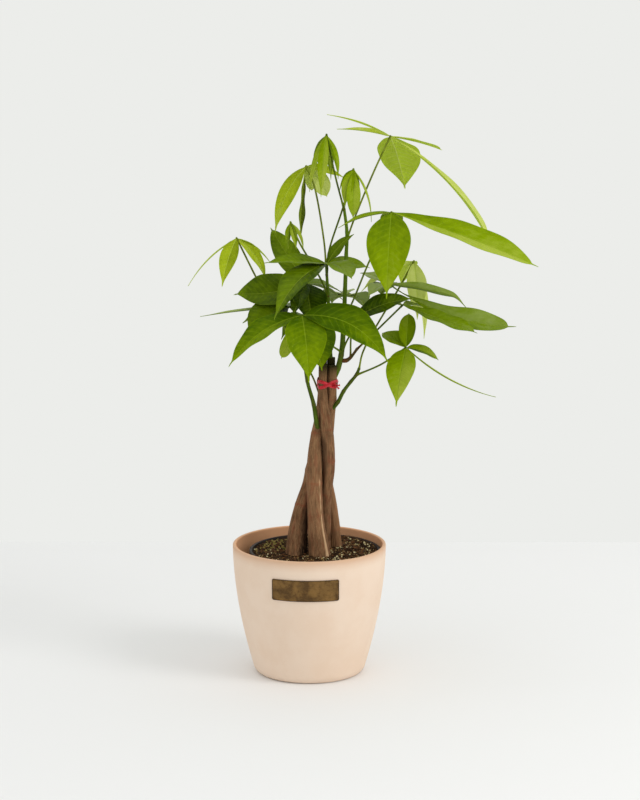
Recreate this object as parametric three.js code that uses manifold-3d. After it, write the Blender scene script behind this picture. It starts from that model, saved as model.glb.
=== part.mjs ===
// Potted money tree: a braided money tree growing in soil in a thin nursery pot,
// which stands in a round tapered planter with a blank metal plate.
// Millimetres, +Z up, origin at the centre of the planter's underside, -Y is the front.
import * as THREE from "three";
import { mergeVertices } from "three/addons/utils/BufferGeometryUtils.js";
import Module from "manifold-3d";

const wasm = await Module();
wasm.setup();

// Driving dimensions
const GAP = 0.3; // left between pieces that touch
const ROUND = 44; // sides of the round pots

const PLANTER_HEIGHT = 141;
const PLANTER_RADIUS = 82.5; // at the rim
const PLANTER_TAPER = 24; // how much narrower the foot is than the rim
const PLANTER_CURVE = 1.8; // how late the wall turns upright
const PLANTER_WALL = 3.9;
const PLANTER_FLOOR = 6;
const FOOT_ROUNDING = 4; // outside, where the wall meets the underside
const FLOOR_ROUNDING = 4; // inside, where the wall meets the floor
const PLANTER_LEVELS = [4, 10, 19, 31, 46, 64, 86, 110]; // heights of the rings that shape its wall
const LIP_ROUNDING = 1.7;

const PLATE_WIDTH = 71;
const PLATE_HEIGHT = 23.4;
const PLATE_CORNER = 1.8;
const PLATE_THICKNESS = 1.2;
const PLATE_CENTRE = [-3.8, 109];
const PLATE_LEVELS = [-14, -7, 0, 7, 14]; // rings of the band that it is cut from, about its centre

const NURSERY_FOOT_RADIUS = 45.5;
const NURSERY_WALL_RADIUS = 69.2;
const NURSERY_RIM_RADIUS = 71;
const NURSERY_RIM_HEIGHT = 7;
const NURSERY_TOP = 134;
const NURSERY_WALL = 1.2;
const NURSERY_FLOOR = 1.8;
const NURSERY_ROUNDING = 2; // where its wall meets its underside
const NURSERY_SHIFT = 6.2; // it stands nearer the planter's right side
const DRAIN_HOLES = 6;
const DRAIN_RADIUS = 4.5;
const DRAIN_CIRCLE = 30;
const DRAIN_SIDES = 10;

const SOIL_LEVEL = 131; // at its edge
const SOIL_MOUND = 0.8; // rise of its middle
const SOIL_SIDES = 32;
const SOIL_RINGS = [1, 0.84, 0.66, 0.48, 0.3, 0.1]; // as shares of its radius
const MOSS_MOUND = { x: -35, y: 30, rise: 2.6, spread: 13 };

const TRUNK_SIDES = 10;
const TRUNK_STEPS = 17;
const SHOOT_SIDES = 6;
const SHOOT_STEPS = 2; // for each stretch between two of its points
const TIE_WIRE = 0.9; // radius
const TIE_LEVEL = 316.9;
const TIE_SWING = 3.6; // how far each turn climbs and falls
const TIE_SIDES = 5;
const TIE_STEPS = 18;
const TIE_END_STEPS = 4;

const BLADE_THICKNESS = 0.8;
const BLADE_STEP = 19; // length of one step along a leaflet
const BLADE_FEWEST = 4; // steps along a leaflet
const BLADE_MOST = 8;
const BLADE_ROOT = 1.1; // half width where a leaflet leaves the hub
const BLADE_END = 0.45; // half width at its very tip
const BLADE_FOLD = 14; // degrees that each half rises from the midrib
const BLADE_TAPER = 2.2; // how fast the outline narrows from its widest place; less gives a blunt tip
const HUB_RADIUS = 2.1;
const STALK_RADIUS = 1.15;
const STALK_FOOT = 1.7; // its radius where it leaves the stem
const STALK_SIDES = 5;

// Colours and finish, by eye
const FINISHES = {
  planter: { color: 0xdcbfa5, roughness: 0.8, metalness: 0 },
  bronze: { color: 0x7a5c2e, roughness: 0.42, metalness: 0.85 },
  black_plastic: { color: 0x1d1c1b, roughness: 0.55, metalness: 0 },
  soil: { color: 0x2f2219, roughness: 0.95, metalness: 0 },
  bark: { color: 0x6f523d, roughness: 0.85, metalness: 0 },
  red_wire: { color: 0xd8283c, roughness: 0.45, metalness: 0 },
  green_stem: { color: 0x4f6b1e, roughness: 0.55, metalness: 0 },
  brown_stem: { color: 0x5b4630, roughness: 0.75, metalness: 0 },
  leaf_mature: { color: 0x3d6412, roughness: 0.45, metalness: 0 },
  leaf_fresh: { color: 0x5f9416, roughness: 0.45, metalness: 0 },
  leaf_young: { color: 0x8fae2c, roughness: 0.5, metalness: 0 },
};

// The four stems of the braid: points [x, y, z, radius] from the end in the soil to the cut top
const TRUNKS = {
  trunk_front: [
    [11.2, -13.6, 103, 11.4],
    [11, -14, 129, 11.9],
    [9.9, -14, 143, 10.8],
    [8.2, -14, 157, 9.6],
    [6.9, -14, 173, 8.5],
    [6, -13.4, 190, 8.3],
    [5.2, -11.5, 212, 8.3],
    [6, -8.6, 236, 7.7],
    [7.2, -4.6, 256, 6.3],
    [10, 0.2, 273, 5.3],
    [12.3, 4.2, 287, 4.9],
    [13.4, 5.6, 302, 4.7],
    [14.4, 5.4, 318, 4.5],
    [14.6, 6.2, 343, 4.2],
  ],
  trunk_middle: [
    [14, 17.5, 103, 8.2],
    [14.5, 16.5, 128, 8.5],
    [15, 12.6, 152, 8.2],
    [16.2, 8, 172, 7.4],
    [18, 1.6, 194, 6.3],
    [19.6, -3, 211, 6.2],
    [20.8, -7, 226, 6.6],
    [20.7, -8.8, 244, 6.6],
    [19.4, -8.4, 264, 6.3],
    [17.4, -7.2, 282, 5.8],
    [15.4, -6.2, 297, 5],
    [14.7, -4.9, 314, 4.5],
    [15, -4.4, 338, 4.2],
  ],
  trunk_right: [
    [28.5, 26.5, 103, 6],
    [28.4, 25, 128, 6.4],
    [28, 22.5, 145, 6],
    [26, 19.6, 166, 5.5],
    [23.2, 16, 187, 5.3],
    [19.8, 12.6, 205, 5.3],
    [18.4, 9.2, 222, 5.4],
    [18.9, 6.8, 240, 5.4],
    [20.6, 5.2, 259, 5.3],
    [22.2, 3.8, 279, 5.1],
    [23.9, 1.4, 297, 4.9],
    [24.4, -1.6, 315, 4.8],
    [25.4, -2, 336, 4.4],
  ],
  trunk_left: [
    [-15, -8.6, 103, 10.4],
    [-14.6, -8, 125, 11.1],
    [-13.1, -5.6, 145, 10.8],
    [-10.5, -1.8, 166, 9.5],
    [-5.9, 2.8, 185, 8.7],
    [0.4, 7, 205, 7.8],
    [3.6, 10.4, 222, 7.4],
    [8.4, 14, 240, 6.8],
    [12, 15.2, 258, 6.1],
    [15.6, 15, 274, 5.6],
    [19.4, 13.4, 291, 5.1],
    [23, 9.2, 312, 4.6],
    [23.4, 8.6, 343, 4.2],
  ],
};

// The tie's way round the stems [x, y], and its two free ends [x, y, z]
const TIE_ROUTE = [
  [8.2, 0.5], [8.5, -5], [10.7, -9.7], [15.2, -11.3], [20.2, -10.3], [25.2, -8.8], [29.6, -6.2], [31.1, -1.5],
  [30.9, 4], [30, 9.2], [27, 13.4], [22.5, 14.7], [17.3, 13.5], [12.8, 11.9], [9.2, 9], [8.2, 5],
];
const TIE_ENDS = [
  [[25.4, -8.4, 318.6], [28.6, -10.2, 316.4], [31.6, -10.6, 312.6]],
  [[25.6, -8.5, 314.6], [28.4, -10.4, 315.8], [32.8, -10.4, 316.6]],
];

// Young stems: where each one grows from, and its points [x, y, z, radius]
const SHOOTS = {
  shoot_main: {
    from: "trunk_right",
    finish: "green_stem",
    points: [
      [25.6, -1.6, 322, 3.2],
      [30.6, -0.4, 333, 3.1],
      [34, 0.5, 347, 2.9],
      [36.4, 0, 375, 2.6],
      [38, 0, 417, 2.2],
      [39.2, 0, 455, 2],
      [39.9, 0, 479, 1.8],
      [36.8, 0, 505, 1.5],
    ],
  },
  shoot_second: {
    from: "trunk_left",
    finish: "green_stem",
    points: [
      [23, 8, 338, 2.4],
      [22.2, 6.6, 352, 2.2],
      [21, 4, 366, 2],
      [20.4, 3, 405, 1.7],
      [17.8, 2, 447, 1.4],
    ],
  },
  shoot_left: {
    from: "trunk_front",
    finish: "green_stem",
    points: [
      [10.5, -1.5, 264, 2.3],
      [8, -7, 274, 2.5],
      [4.8, -7.4, 295, 2.2],
      [-2, -5, 320, 1.9],
      [-6.4, -2, 356, 1.7],
      [-9, 2, 384, 1.5],
    ],
  },
  shoot_right: {
    from: "trunk_right",
    finish: "green_stem",
    points: [
      [25, 0.5, 289, 2.2],
      [30.6, -4, 297, 2.1],
      [36.5, -6.5, 309, 2],
      [44, -7.5, 319.5, 1.8],
      [50.5, -8, 328, 1.7],
      [53.2, -6.8, 334.5, 1.5],
    ],
  },
  shoot_side: {
    from: "shoot_main",
    finish: "brown_stem",
    points: [
      [34, 0.4, 341, 1.9],
      [39.5, -0.6, 341.5, 2.1],
      [44, -1.8, 345, 1.6],
      [51.5, -4, 355.5, 1.4],
    ],
  },
};

// A leaflet: tip, width, how much its midrib arches over its chord, the way its upper face looks,
// the share of its length at which it is widest, and how fast it narrows from there
function leaflet(tip, width, arch = 0.1, face = [0, 0, 1], widest = 0.43, taper = BLADE_TAPER) {
  return { tip, width, arch, face, widest, taper };
}

// The fronds: what each grows from, its stalk as points from there to the hub, and its leaflets
const FRONDS = {
  frond_high_right: {
    from: "shoot_main",
    finish: "leaf_young",
    stalk: [[39.8, 0, 470], [45, 1, 486], [66, 3, 538], [85.5, 5, 580.4]],
    leaflets: [
      leaflet([18.8, -10, 604.6], 9, 0.08),
      leaflet([29.5, 40, 583.8], 15, 0.06, [0, -0.1, 1]),
      leaflet([102.7, 60, 517.1], 47, 0.1, [0, 0, 1], 0.47),
      leaflet([141.6, 50, 560.3], 17, 0.04, [0, -0.1, 1], 0.66, 1.8),
      leaflet([190.4, 8, 468.6], 32, 0.14, [0, -0.07, 1], 0.8, 1.6),
    ],
  },
  frond_wide_right: {
    from: "shoot_main",
    finish: "leaf_fresh",
    stalk: [[37.4, 0, 388], [44, -4, 401], [62.5, -18, 449], [86, -35, 505.5]],
    leaflets: [
      leaflet([30.2, -42, 489.7], 18, 0.12),
      leaflet([79.9, -95, 423.7], 46, 0.16),
      leaflet([238.2, -60, 451.5], 43, 0.03, [0, -0.35, 1], 0.6, 1.8),
      leaflet([88, 25, 468], 24, 0.12),
    ],
  },
  frond_crown: {
    from: "shoot_main",
    finish: "leaf_fresh",
    stalk: [[36.9, 0, 503], [27.6, -3, 539], [18.3, -5, 583.1]],
    leaflets: [
      leaflet([0.5, -18, 524.2], 8, 0.12, [-0.7, -0.7, 0.3]),
      leaflet([12.5, -24, 519.5], 11, 0.12, [-0.1, -1, 0.3]),
      leaflet([30.5, -10, 537], 8, 0.14, [0.6, -0.8, 0.3]),
      leaflet([23, 12, 533], 9, 0.14, [0.4, 1, 0.3]),
      leaflet([5, 10, 545], 9, 0.14, [-0.6, 0.8, 0.3]),
    ],
  },
  frond_high_left: {
    from: "shoot_second",
    finish: "leaf_young",
    stalk: [[17.9, 4, 444], [15.5, 8, 470], [5, 20, 527], [-3.3, 28, 545.9]],
    leaflets: [
      leaflet([-36.1, 10, 476.8], 18, 0.19, [0.3, -0.95, 0.3]),
      leaflet([-9.3, 26, 468], 14, 0.05, [0.9, -0.4, 0.1], 0.66),
      leaflet([19, 46, 510.3], 20, 0.14, [0.1, -1, 0.4], 0.58, 1.6),
      leaflet([37.6, 40, 531.5], 12, 0.1, [0, -0.6, 0.8]),
      leaflet([3, 40, 517.6], 11, 0.1, [-0.2, -1, 0.4], 0.6, 1.4),
    ],
  },
  frond_young_middle: {
    from: "shoot_second",
    finish: "leaf_fresh",
    stalk: [[18.4, 1.4, 443], [21.8, -3, 463], [35.7, -8, 506.6], [46.6, -14, 547.9]],
    leaflets: [
      leaflet([32, -6, 524], 7, 0.16, [-0.8, -0.4, 0.3]),
      leaflet([37.5, -26, 509], 13, 0.15, [-0.3, -1, 0.3]),
      leaflet([46, -30, 497], 15, 0.13, [0.2, -1, 0.3], 0.55),
      leaflet([65.5, -16, 492.3], 5, 0.16, [0.9, -0.4, 0.3]),
      leaflet([49, 2, 505], 10, 0.14, [0.1, 1, 0.3]),
    ],
  },
  frond_middle_front: {
    from: "shoot_second",
    finish: "leaf_mature",
    stalk: [[18.6, 2.2, 433], [19.4, -5, 441], [18.9, -12, 447.6]],
    leaflets: [
      leaflet([-47.2, -45, 453.2], 24, 0.06, [0, -0.35, 1]),
      leaflet([-36, -85, 400.1], 36, 0.24, [-0.2, -0.4, 1]),
      leaflet([44.5, -80, 442.1], 28, 0.14, [0, -0.2, 1], 0.55, 1.6),
      leaflet([47.3, -12, 479], 13, 0.14, [-0.3, -0.9, 0.5]),
      leaflet([65.3, 48, 433.3], 14, 0.08, [0.3, -1, 0.5]),
    ],
  },
  frond_far_left: {
    from: "trunk_front",
    finish: "leaf_young",
    stalk: [[12.8, 6, 297], [4, 9, 321], [-11, 12, 347], [-52, 14, 420], [-77, 12, 471.2]],
    leaflets: [
      leaflet([-128.3, 0, 421.6], 4.5, 0.14),
      leaflet([-91.5, -25, 424.7], 19, 0.14, [-0.2, -1, 0.4]),
      leaflet([-46, 16, 425], 14, 0.2, [0.5, -0.8, 0.5]),
      leaflet([-41.9, 30, 442.6], 10, 0.14, [0.2, 0, 1]),
    ],
  },
  frond_young_left: {
    from: "shoot_second",
    finish: "leaf_fresh",
    stalk: [[20.2, 2.8, 410], [13, -3, 428], [2, -6, 448], [-10, -2, 468], [-19.7, 6, 489.1]],
    leaflets: [
      leaflet([-24.4, 0, 467.6], 6, 0.14, [-0.8, -0.6, 0.3]),
      leaflet([-13.6, -2, 461], 7, 0.1, [0.1, -1, 0.3]),
      leaflet([-6, 4, 459], 6, 0.18, [0.7, -0.5, 0.3]),
      leaflet([-22, 9, 460], 6, 0.14, [-0.2, 1, 0.3]),
    ],
  },
  frond_centre_left: {
    from: "shoot_second",
    finish: "leaf_mature",
    stalk: [[20.9, 3.6, 376], [12, 2, 400], [-3.3, -2, 425.2]],
    leaflets: [
      leaflet([-41.4, 35, 479], 26, -0.02, [-0.2, -0.8, 0.5], 0.5, 1.6),
      leaflet([-79.4, -20, 417.5], 42, -0.13, [0, -1, 1], 0.5, 1.8),
      leaflet([35, 30, 409.6], 21, 0.12, [0, -0.3, 0.9]),
      leaflet([36.2, 44, 399.1], 12, 0.1),
      leaflet([-16.5, -44, 396], 20, 0.12),
      leaflet([3.5, -44, 387], 38, 0.08, [0.1, -0.4, 1]),
    ],
  },
  frond_front_low: {
    from: "shoot_main",
    finish: "leaf_fresh",
    stalk: [[34.6, 0.5, 350], [11, -31, 373], [-7.2, -62, 401.3]],
    leaflets: [
      leaflet([-83.3, -85, 350.6], 34, 0.22, [-0.1, -0.4, 1]),
      leaflet([0.2, -125, 341.6], 43, 0.2),
      leaflet([82.8, -95, 355.7], 44, 0.32, [0.1, -0.7, 1]),
      leaflet([13.6, -20, 333.8], 44, 0.18, [0.1, -0.9, 0.3], 0.5),
      leaflet([-29.4, -38, 350.4], 14, 0, [0, -1, 0.4], 0.66, 1.4),
    ],
  },
  frond_left_low: {
    from: "shoot_left",
    finish: "leaf_mature",
    stalk: [[-8.4, 1, 379], [-13, -5, 391], [-20, -10, 401]],
    leaflets: [
      leaflet([-114.2, -35, 395], 10, 0.03),
      leaflet([-64.8, -50, 381.1], 36, 0.12, [0, -0.7, 0.7], 0.55),
      leaflet([-70.5, -18, 384.8], 24, 0.12, [0, -0.4, 1]),
      leaflet([-30, 50, 388], 22, 0.14),
    ],
  },
  frond_right_long: {
    from: "shoot_main",
    finish: "leaf_mature",
    stalk: [[36, 0.2, 353], [42, 0, 366], [66, 2, 398], [83.6, 2, 423.4]],
    leaflets: [
      leaflet([163.5, 2, 407.4], 18, 0.05, [0, -0.35, 1], 0.57, 1.4),
      leaflet([213, -28, 381], 33, -0.13, [0, -0.55, 1], 0.78, 2.5),
      leaflet([54.4, 45, 428.3], 22, 0.1, [0, -0.2, 1]),
      leaflet([61.7, -42, 417.6], 22, 0.12),
      leaflet([78, 60, 400], 26, 0.14),
    ],
  },
  frond_right_lower: {
    from: "shoot_side",
    finish: "leaf_mature",
    stalk: [[50, -3.5, 353.5], [73, -7, 376.5], [99, -10, 403]],
    leaflets: [
      leaflet([175.8, -56, 381], 20, 0, [0, -0.5, 1], 0.6, 1.5),
      leaflet([132, 20, 392], 22, 0.12),
      leaflet([58, 34, 394], 16, 0.12),
    ],
  },
  frond_right_inner: {
    from: "shoot_side",
    finish: "leaf_mature",
    stalk: [[44, -1.8, 345], [44, -7, 360], [45, -22, 389]],
    leaflets: [
      leaflet([108.5, -40, 415], 26, 0.12, [0, -0.8, 1], 0.5),
      leaflet([68, -62, 366], 26, 0.16),
      leaflet([28, -46, 392], 18, 0.1),
      leaflet([12, -8, 372], 20, 0.16),
    ],
  },
  frond_right_back: {
    from: "shoot_right",
    finish: "leaf_young",
    stalk: [[52.9, -6.9, 333], [57.5, -3, 352], [98, 30, 418], [112.3, 45, 441.4]],
    leaflets: [
      leaflet([55.5, 40, 408.5], 20, 0.14, [-0.2, -0.3, 1]),
      leaflet([115.6, 25, 381], 22, 0.16, [0.2, -1, 0.4]),
      leaflet([123.5, 42, 356.9], 13, 0.1, [0.5, -0.6, 0.4]),
      leaflet([100, 108, 402], 20, 0.16),
    ],
  },
  frond_low_right: {
    from: "shoot_right",
    finish: "leaf_fresh",
    stalk: [[50, -8, 327], [77, -18, 341], [102.2, -28, 360.6]],
    leaflets: [
      leaflet([105.9, 0, 392.6], 18, 0.08, [0, 0, 1], 0.52, 1.3),
      leaflet([77.6, 10, 369.2], 20, 0.1, [-0.2, -0.4, 1], 0.5, 1.6),
      leaflet([90.6, -80, 307.3], 31, 0.16, [0, 0, 1], 0.42),
      leaflet([136.9, -20, 345.6], 18, 0.14, [0, -0.4, 1], 0.52, 1.5),
      leaflet([197.5, -30, 307.7], 8, -0.14),
    ],
  },
  frond_back: {
    from: "shoot_main",
    finish: "leaf_mature",
    stalk: [[36.6, 0, 368], [38, 22, 386], [39, 58, 401.7]],
    leaflets: [
      leaflet([69.8, 70, 386], 20, 0.14),
      leaflet([12, 72, 388], 24, 0.14),
      leaflet([24, 124, 380], 34, 0.2),
      leaflet([62, 118, 376], 30, 0.2),
    ],
  },
  frond_back_low: {
    from: "trunk_left",
    finish: "leaf_mature",
    stalk: [[23.4, 8.6, 338], [14, 22, 352], [-6, 46, 382]],
    leaflets: [
      leaflet([-44, 62, 366], 26, 0.16),
      leaflet([-22, 108, 350], 34, 0.2),
      leaflet([20, 98, 348], 28, 0.18),
      leaflet([-30, 22, 360], 20, 0.14),
    ],
  },
};

// Joining and cutting

const vec = (p) => new THREE.Vector3(p[0], p[1], p[2]);

// A closed geometry as a solid that can be joined and cut
function solidOf(geometry) {
  geometry.deleteAttribute("normal");
  geometry.deleteAttribute("uv");
  const merged = mergeVertices(geometry, 1e-4);
  return new wasm.Manifold(
    new wasm.Mesh({
      numProp: 3,
      vertProperties: merged.attributes.position.array,
      triVerts: new Uint32Array(merged.index.array),
    }),
  );
}

// The biggest of the bodies that a cut leaves
function mainBody(solid) {
  const bodies = solid.decompose();
  return bodies.reduce((best, body) => (body.volume() > best.volume() ? body : best));
}

const cutBy = (solid, ...tools) => mainBody(tools.reduce((rest, tool) => rest.subtract(tool), solid));

const joined = (solids) => solids.reduce((whole, solid) => whole.add(solid));

// A solid as a named mesh
function meshOf(name, solid, finish) {
  const { vertProperties, triVerts } = solid.getMesh();
  const geometry = new THREE.BufferGeometry();
  geometry.setAttribute("position", new THREE.BufferAttribute(vertProperties, 3));
  geometry.setIndex(new THREE.BufferAttribute(triVerts, 1));
  geometry.computeVertexNormals();
  const mesh = new THREE.Mesh(geometry, new THREE.MeshStandardMaterial(FINISHES[finish]));
  mesh.name = name;
  return mesh;
}

// Closed surfaces from rings of points

// Quads between neighbouring rings, each split into two triangles, with both ends closed
function skin(rings) {
  const sides = rings[0].length;
  const points = rings.flat();
  const index = [];
  for (let ring = 0; ring < rings.length - 1; ring++) {
    for (let side = 0; side < sides; side++) {
      const a = ring * sides + side;
      const b = ring * sides + ((side + 1) % sides);
      index.push(a, b, b + sides, a, b + sides, a + sides);
    }
  }
  const last = (rings.length - 1) * sides;
  for (let side = 1; side < sides - 1; side++) {
    index.push(0, side + 1, side);
    index.push(last, last + side, last + side + 1);
  }
  const geometry = new THREE.BufferGeometry().setFromPoints(points);
  geometry.setIndex(index);
  return geometry;
}

// A round stem through points [x, y, z, radius], grown by a margin
function stem(points, sides, steps, margin = 0) {
  const curve = new THREE.CatmullRomCurve3(points.map(vec));
  const frames = curve.computeFrenetFrames(steps);
  const spans = points.length - 1;
  const rings = [];
  for (let step = 0; step <= steps; step++) {
    const t = curve.getUtoTmapping(step / steps);
    const centre = curve.getPoint(t);
    const span = Math.min(Math.floor(t * spans), spans - 1);
    const radius = THREE.MathUtils.lerp(points[span][3], points[span + 1][3], t * spans - span);
    const ring = [];
    for (let side = 0; side < sides; side++) {
      const angle = (2 * Math.PI * side) / sides;
      const out = frames.normals[step].clone().multiplyScalar(Math.cos(angle));
      out.addScaledVector(frames.binormals[step], Math.sin(angle));
      ring.push(centre.clone().addScaledVector(out, radius + margin));
    }
    rings.push(ring);
  }
  return solidOf(skin(rings));
}

// Planter

const planterRadius = (z) => PLANTER_RADIUS - PLANTER_TAPER * (1 - z / PLANTER_HEIGHT) ** PLANTER_CURVE;

function lathe(profile, sides) {
  const points = profile.map(([r, z]) => new THREE.Vector2(r, z));
  return new THREE.LatheGeometry(points, sides).rotateX(Math.PI / 2);
}

function planter() {
  const heights = [...PLANTER_LEVELS, PLANTER_HEIGHT - LIP_ROUNDING];
  const foot = planterRadius(0);
  const inner = PLANTER_RADIUS - PLANTER_WALL;
  const floorEdge = planterRadius(PLANTER_FLOOR) - PLANTER_WALL;
  const outside = heights.map((z) => [planterRadius(z), z]);
  const inside = heights
    .slice(2)
    .reverse()
    .map((z) => [planterRadius(z) - PLANTER_WALL, z]);
  const profile = [
    [0, 0],
    [foot - FOOT_ROUNDING, 0],
    [foot - 0.25 * FOOT_ROUNDING, 0.25 * FOOT_ROUNDING],
    ...outside,
    [PLANTER_RADIUS - 0.5 * LIP_ROUNDING, PLANTER_HEIGHT - 0.2 * LIP_ROUNDING],
    [PLANTER_RADIUS - LIP_ROUNDING, PLANTER_HEIGHT],
    [inner + LIP_ROUNDING, PLANTER_HEIGHT],
    [inner + 0.4 * LIP_ROUNDING, PLANTER_HEIGHT - 0.3 * LIP_ROUNDING],
    ...inside,
    [floorEdge - 0.25 * FLOOR_ROUNDING, PLANTER_FLOOR + 0.75 * FLOOR_ROUNDING],
    [floorEdge - FLOOR_ROUNDING, PLANTER_FLOOR],
    [0, PLANTER_FLOOR],
  ];
  return solidOf(lathe(profile, ROUND));
}

// The plate is cut out of a thin band that follows the planter's wall
function namePlate() {
  const [centreX, centreZ] = PLATE_CENTRE;
  const levels = PLATE_LEVELS.map((step) => centreZ + step);
  const near = levels.map((z) => [planterRadius(z) + GAP, z]);
  const far = levels.map((z) => [planterRadius(z) + GAP + PLATE_THICKNESS, z]).reverse();
  const band = solidOf(lathe([...near, ...far, near[0]].reverse(), 2 * ROUND));
  const outline = new THREE.Shape();
  const halfWidth = PLATE_WIDTH / 2 - PLATE_CORNER;
  const halfHeight = PLATE_HEIGHT / 2 - PLATE_CORNER;
  outline.absarc(halfWidth, halfHeight, PLATE_CORNER, 0, Math.PI / 2);
  outline.absarc(-halfWidth, halfHeight, PLATE_CORNER, Math.PI / 2, Math.PI);
  outline.absarc(-halfWidth, -halfHeight, PLATE_CORNER, Math.PI, 1.5 * Math.PI);
  outline.absarc(halfWidth, -halfHeight, PLATE_CORNER, 1.5 * Math.PI, 2 * Math.PI);
  const block = new THREE.ExtrudeGeometry(outline, {
    depth: 1.5 * PLANTER_RADIUS,
    bevelEnabled: false,
    curveSegments: 4,
  });
  block.rotateX(Math.PI / 2).translate(centreX, 0, centreZ);
  return band.intersect(solidOf(block));
}

// Nursery pot and soil

const nurseryRadius = (z) =>
  THREE.MathUtils.mapLinear(z, PLANTER_FLOOR, NURSERY_TOP, NURSERY_FOOT_RADIUS, NURSERY_WALL_RADIUS);

function nurseryPot() {
  const foot = PLANTER_FLOOR + GAP;
  const floor = foot + NURSERY_FLOOR;
  const band = NURSERY_TOP - NURSERY_RIM_HEIGHT;
  const inner = (z) => nurseryRadius(z) - NURSERY_WALL;
  const profile = [
    [0, foot],
    [nurseryRadius(foot) - NURSERY_ROUNDING, foot],
    [nurseryRadius(foot), foot + NURSERY_ROUNDING],
    [nurseryRadius(band), band],
    [NURSERY_RIM_RADIUS, band],
    [NURSERY_RIM_RADIUS, NURSERY_TOP],
    [inner(NURSERY_TOP), NURSERY_TOP],
    [inner(floor), floor],
    [0, floor],
  ];
  let pot = solidOf(lathe(profile, ROUND));
  for (let hole = 0; hole < DRAIN_HOLES; hole++) {
    const angle = (2 * Math.PI * hole) / DRAIN_HOLES;
    const drill = new THREE.CylinderGeometry(DRAIN_RADIUS, DRAIN_RADIUS, 5 * NURSERY_FLOOR, DRAIN_SIDES);
    drill.rotateX(Math.PI / 2);
    drill.translate(DRAIN_CIRCLE * Math.cos(angle), DRAIN_CIRCLE * Math.sin(angle), foot);
    pot = pot.subtract(solidOf(drill));
  }
  return pot.translate([NURSERY_SHIFT, 0, 0]);
}

// Height of the soil's surface: mounded towards the stems, with low uneven lumps
function soilHeight(x, y, edge) {
  const mound = SOIL_MOUND * (1 - (x * x + y * y) / (edge * edge));
  const away = ((x - MOSS_MOUND.x) ** 2 + (y - MOSS_MOUND.y) ** 2) / MOSS_MOUND.spread ** 2;
  const lumps = 0.5 * Math.sin(0.21 * x + 1.3) * Math.cos(0.27 * y) + 0.4 * Math.sin(0.43 * y - 0.31 * x);
  return SOIL_LEVEL + mound + lumps + MOSS_MOUND.rise * Math.exp(-away);
}

function soil(stemHoles) {
  const inner = (z) => nurseryRadius(z) - NURSERY_WALL - GAP;
  const floor = PLANTER_FLOOR + NURSERY_FLOOR + 2 * GAP;
  const edge = inner(SOIL_LEVEL);
  const ring = (radius, height) =>
    Array.from({ length: SOIL_SIDES }, (_, side) => {
      const angle = (2 * Math.PI * side) / SOIL_SIDES;
      const x = radius * Math.cos(angle);
      const y = radius * Math.sin(angle);
      return new THREE.Vector3(x + NURSERY_SHIFT, y, height ?? soilHeight(x, y, edge));
    });
  const rings = [
    ring(inner(floor), floor),
    ring(edge - GAP, SOIL_LEVEL - 1.5),
    ...SOIL_RINGS.map((share) => ring(share * (edge - 2 * GAP))),
  ];
  return cutBy(solidOf(skin(rings)), ...stemHoles);
}

// Twist tie: one wire wound twice round the stems, its ends twisted in front

// One turn of the wire round the stems, as rings of points
function tieTurn(phase) {
  const route = TIE_ROUTE.map(([x, y], place) => {
    const climb = TIE_SWING * Math.sin((4 * Math.PI * place) / TIE_ROUTE.length + phase);
    return new THREE.Vector3(x, y, TIE_LEVEL + climb);
  });
  const curve = new THREE.CatmullRomCurve3(route, true);
  const frames = curve.computeFrenetFrames(TIE_STEPS, true);
  const rings = [];
  for (let step = 0; step < TIE_STEPS; step++) {
    const centre = curve.getPointAt(step / TIE_STEPS);
    const ring = [];
    for (let side = 0; side < TIE_SIDES; side++) {
      const angle = (2 * Math.PI * side) / TIE_SIDES;
      const point = centre.clone();
      point.addScaledVector(frames.normals[step], TIE_WIRE * Math.cos(angle));
      point.addScaledVector(frames.binormals[step], TIE_WIRE * Math.sin(angle));
      ring.push(point);
    }
    rings.push(ring);
  }
  return rings;
}

// A closed loop from rings of points, the last joined to the first
function loop(rings) {
  const sides = rings[0].length;
  const total = rings.length * sides;
  const index = [];
  rings.forEach((_, ring) => {
    for (let side = 0; side < sides; side++) {
      const a = ring * sides + side;
      const b = ring * sides + ((side + 1) % sides);
      index.push(a, b, (b + sides) % total, a, (b + sides) % total, (a + sides) % total);
    }
  });
  const geometry = new THREE.BufferGeometry().setFromPoints(rings.flat());
  geometry.setIndex(index);
  return solidOf(geometry);
}

function twistTie(stems) {
  const ends = TIE_ENDS.map((points) => stem(points.map((p) => [...p, TIE_WIRE]), TIE_SIDES, TIE_END_STEPS));
  const wires = joined([loop(tieTurn(0)), loop(tieTurn(Math.PI)), ...ends]);
  return cutBy(wires, ...stems);
}

// Fronds

// Half width of a leaflet at a share of its length, as a share of its greatest half width
function outline(share, widest, taper) {
  const value = (s) => (s ** widest * (1 - s) ** (1 - widest)) ** taper;
  return value(share) / value(widest);
}

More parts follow.
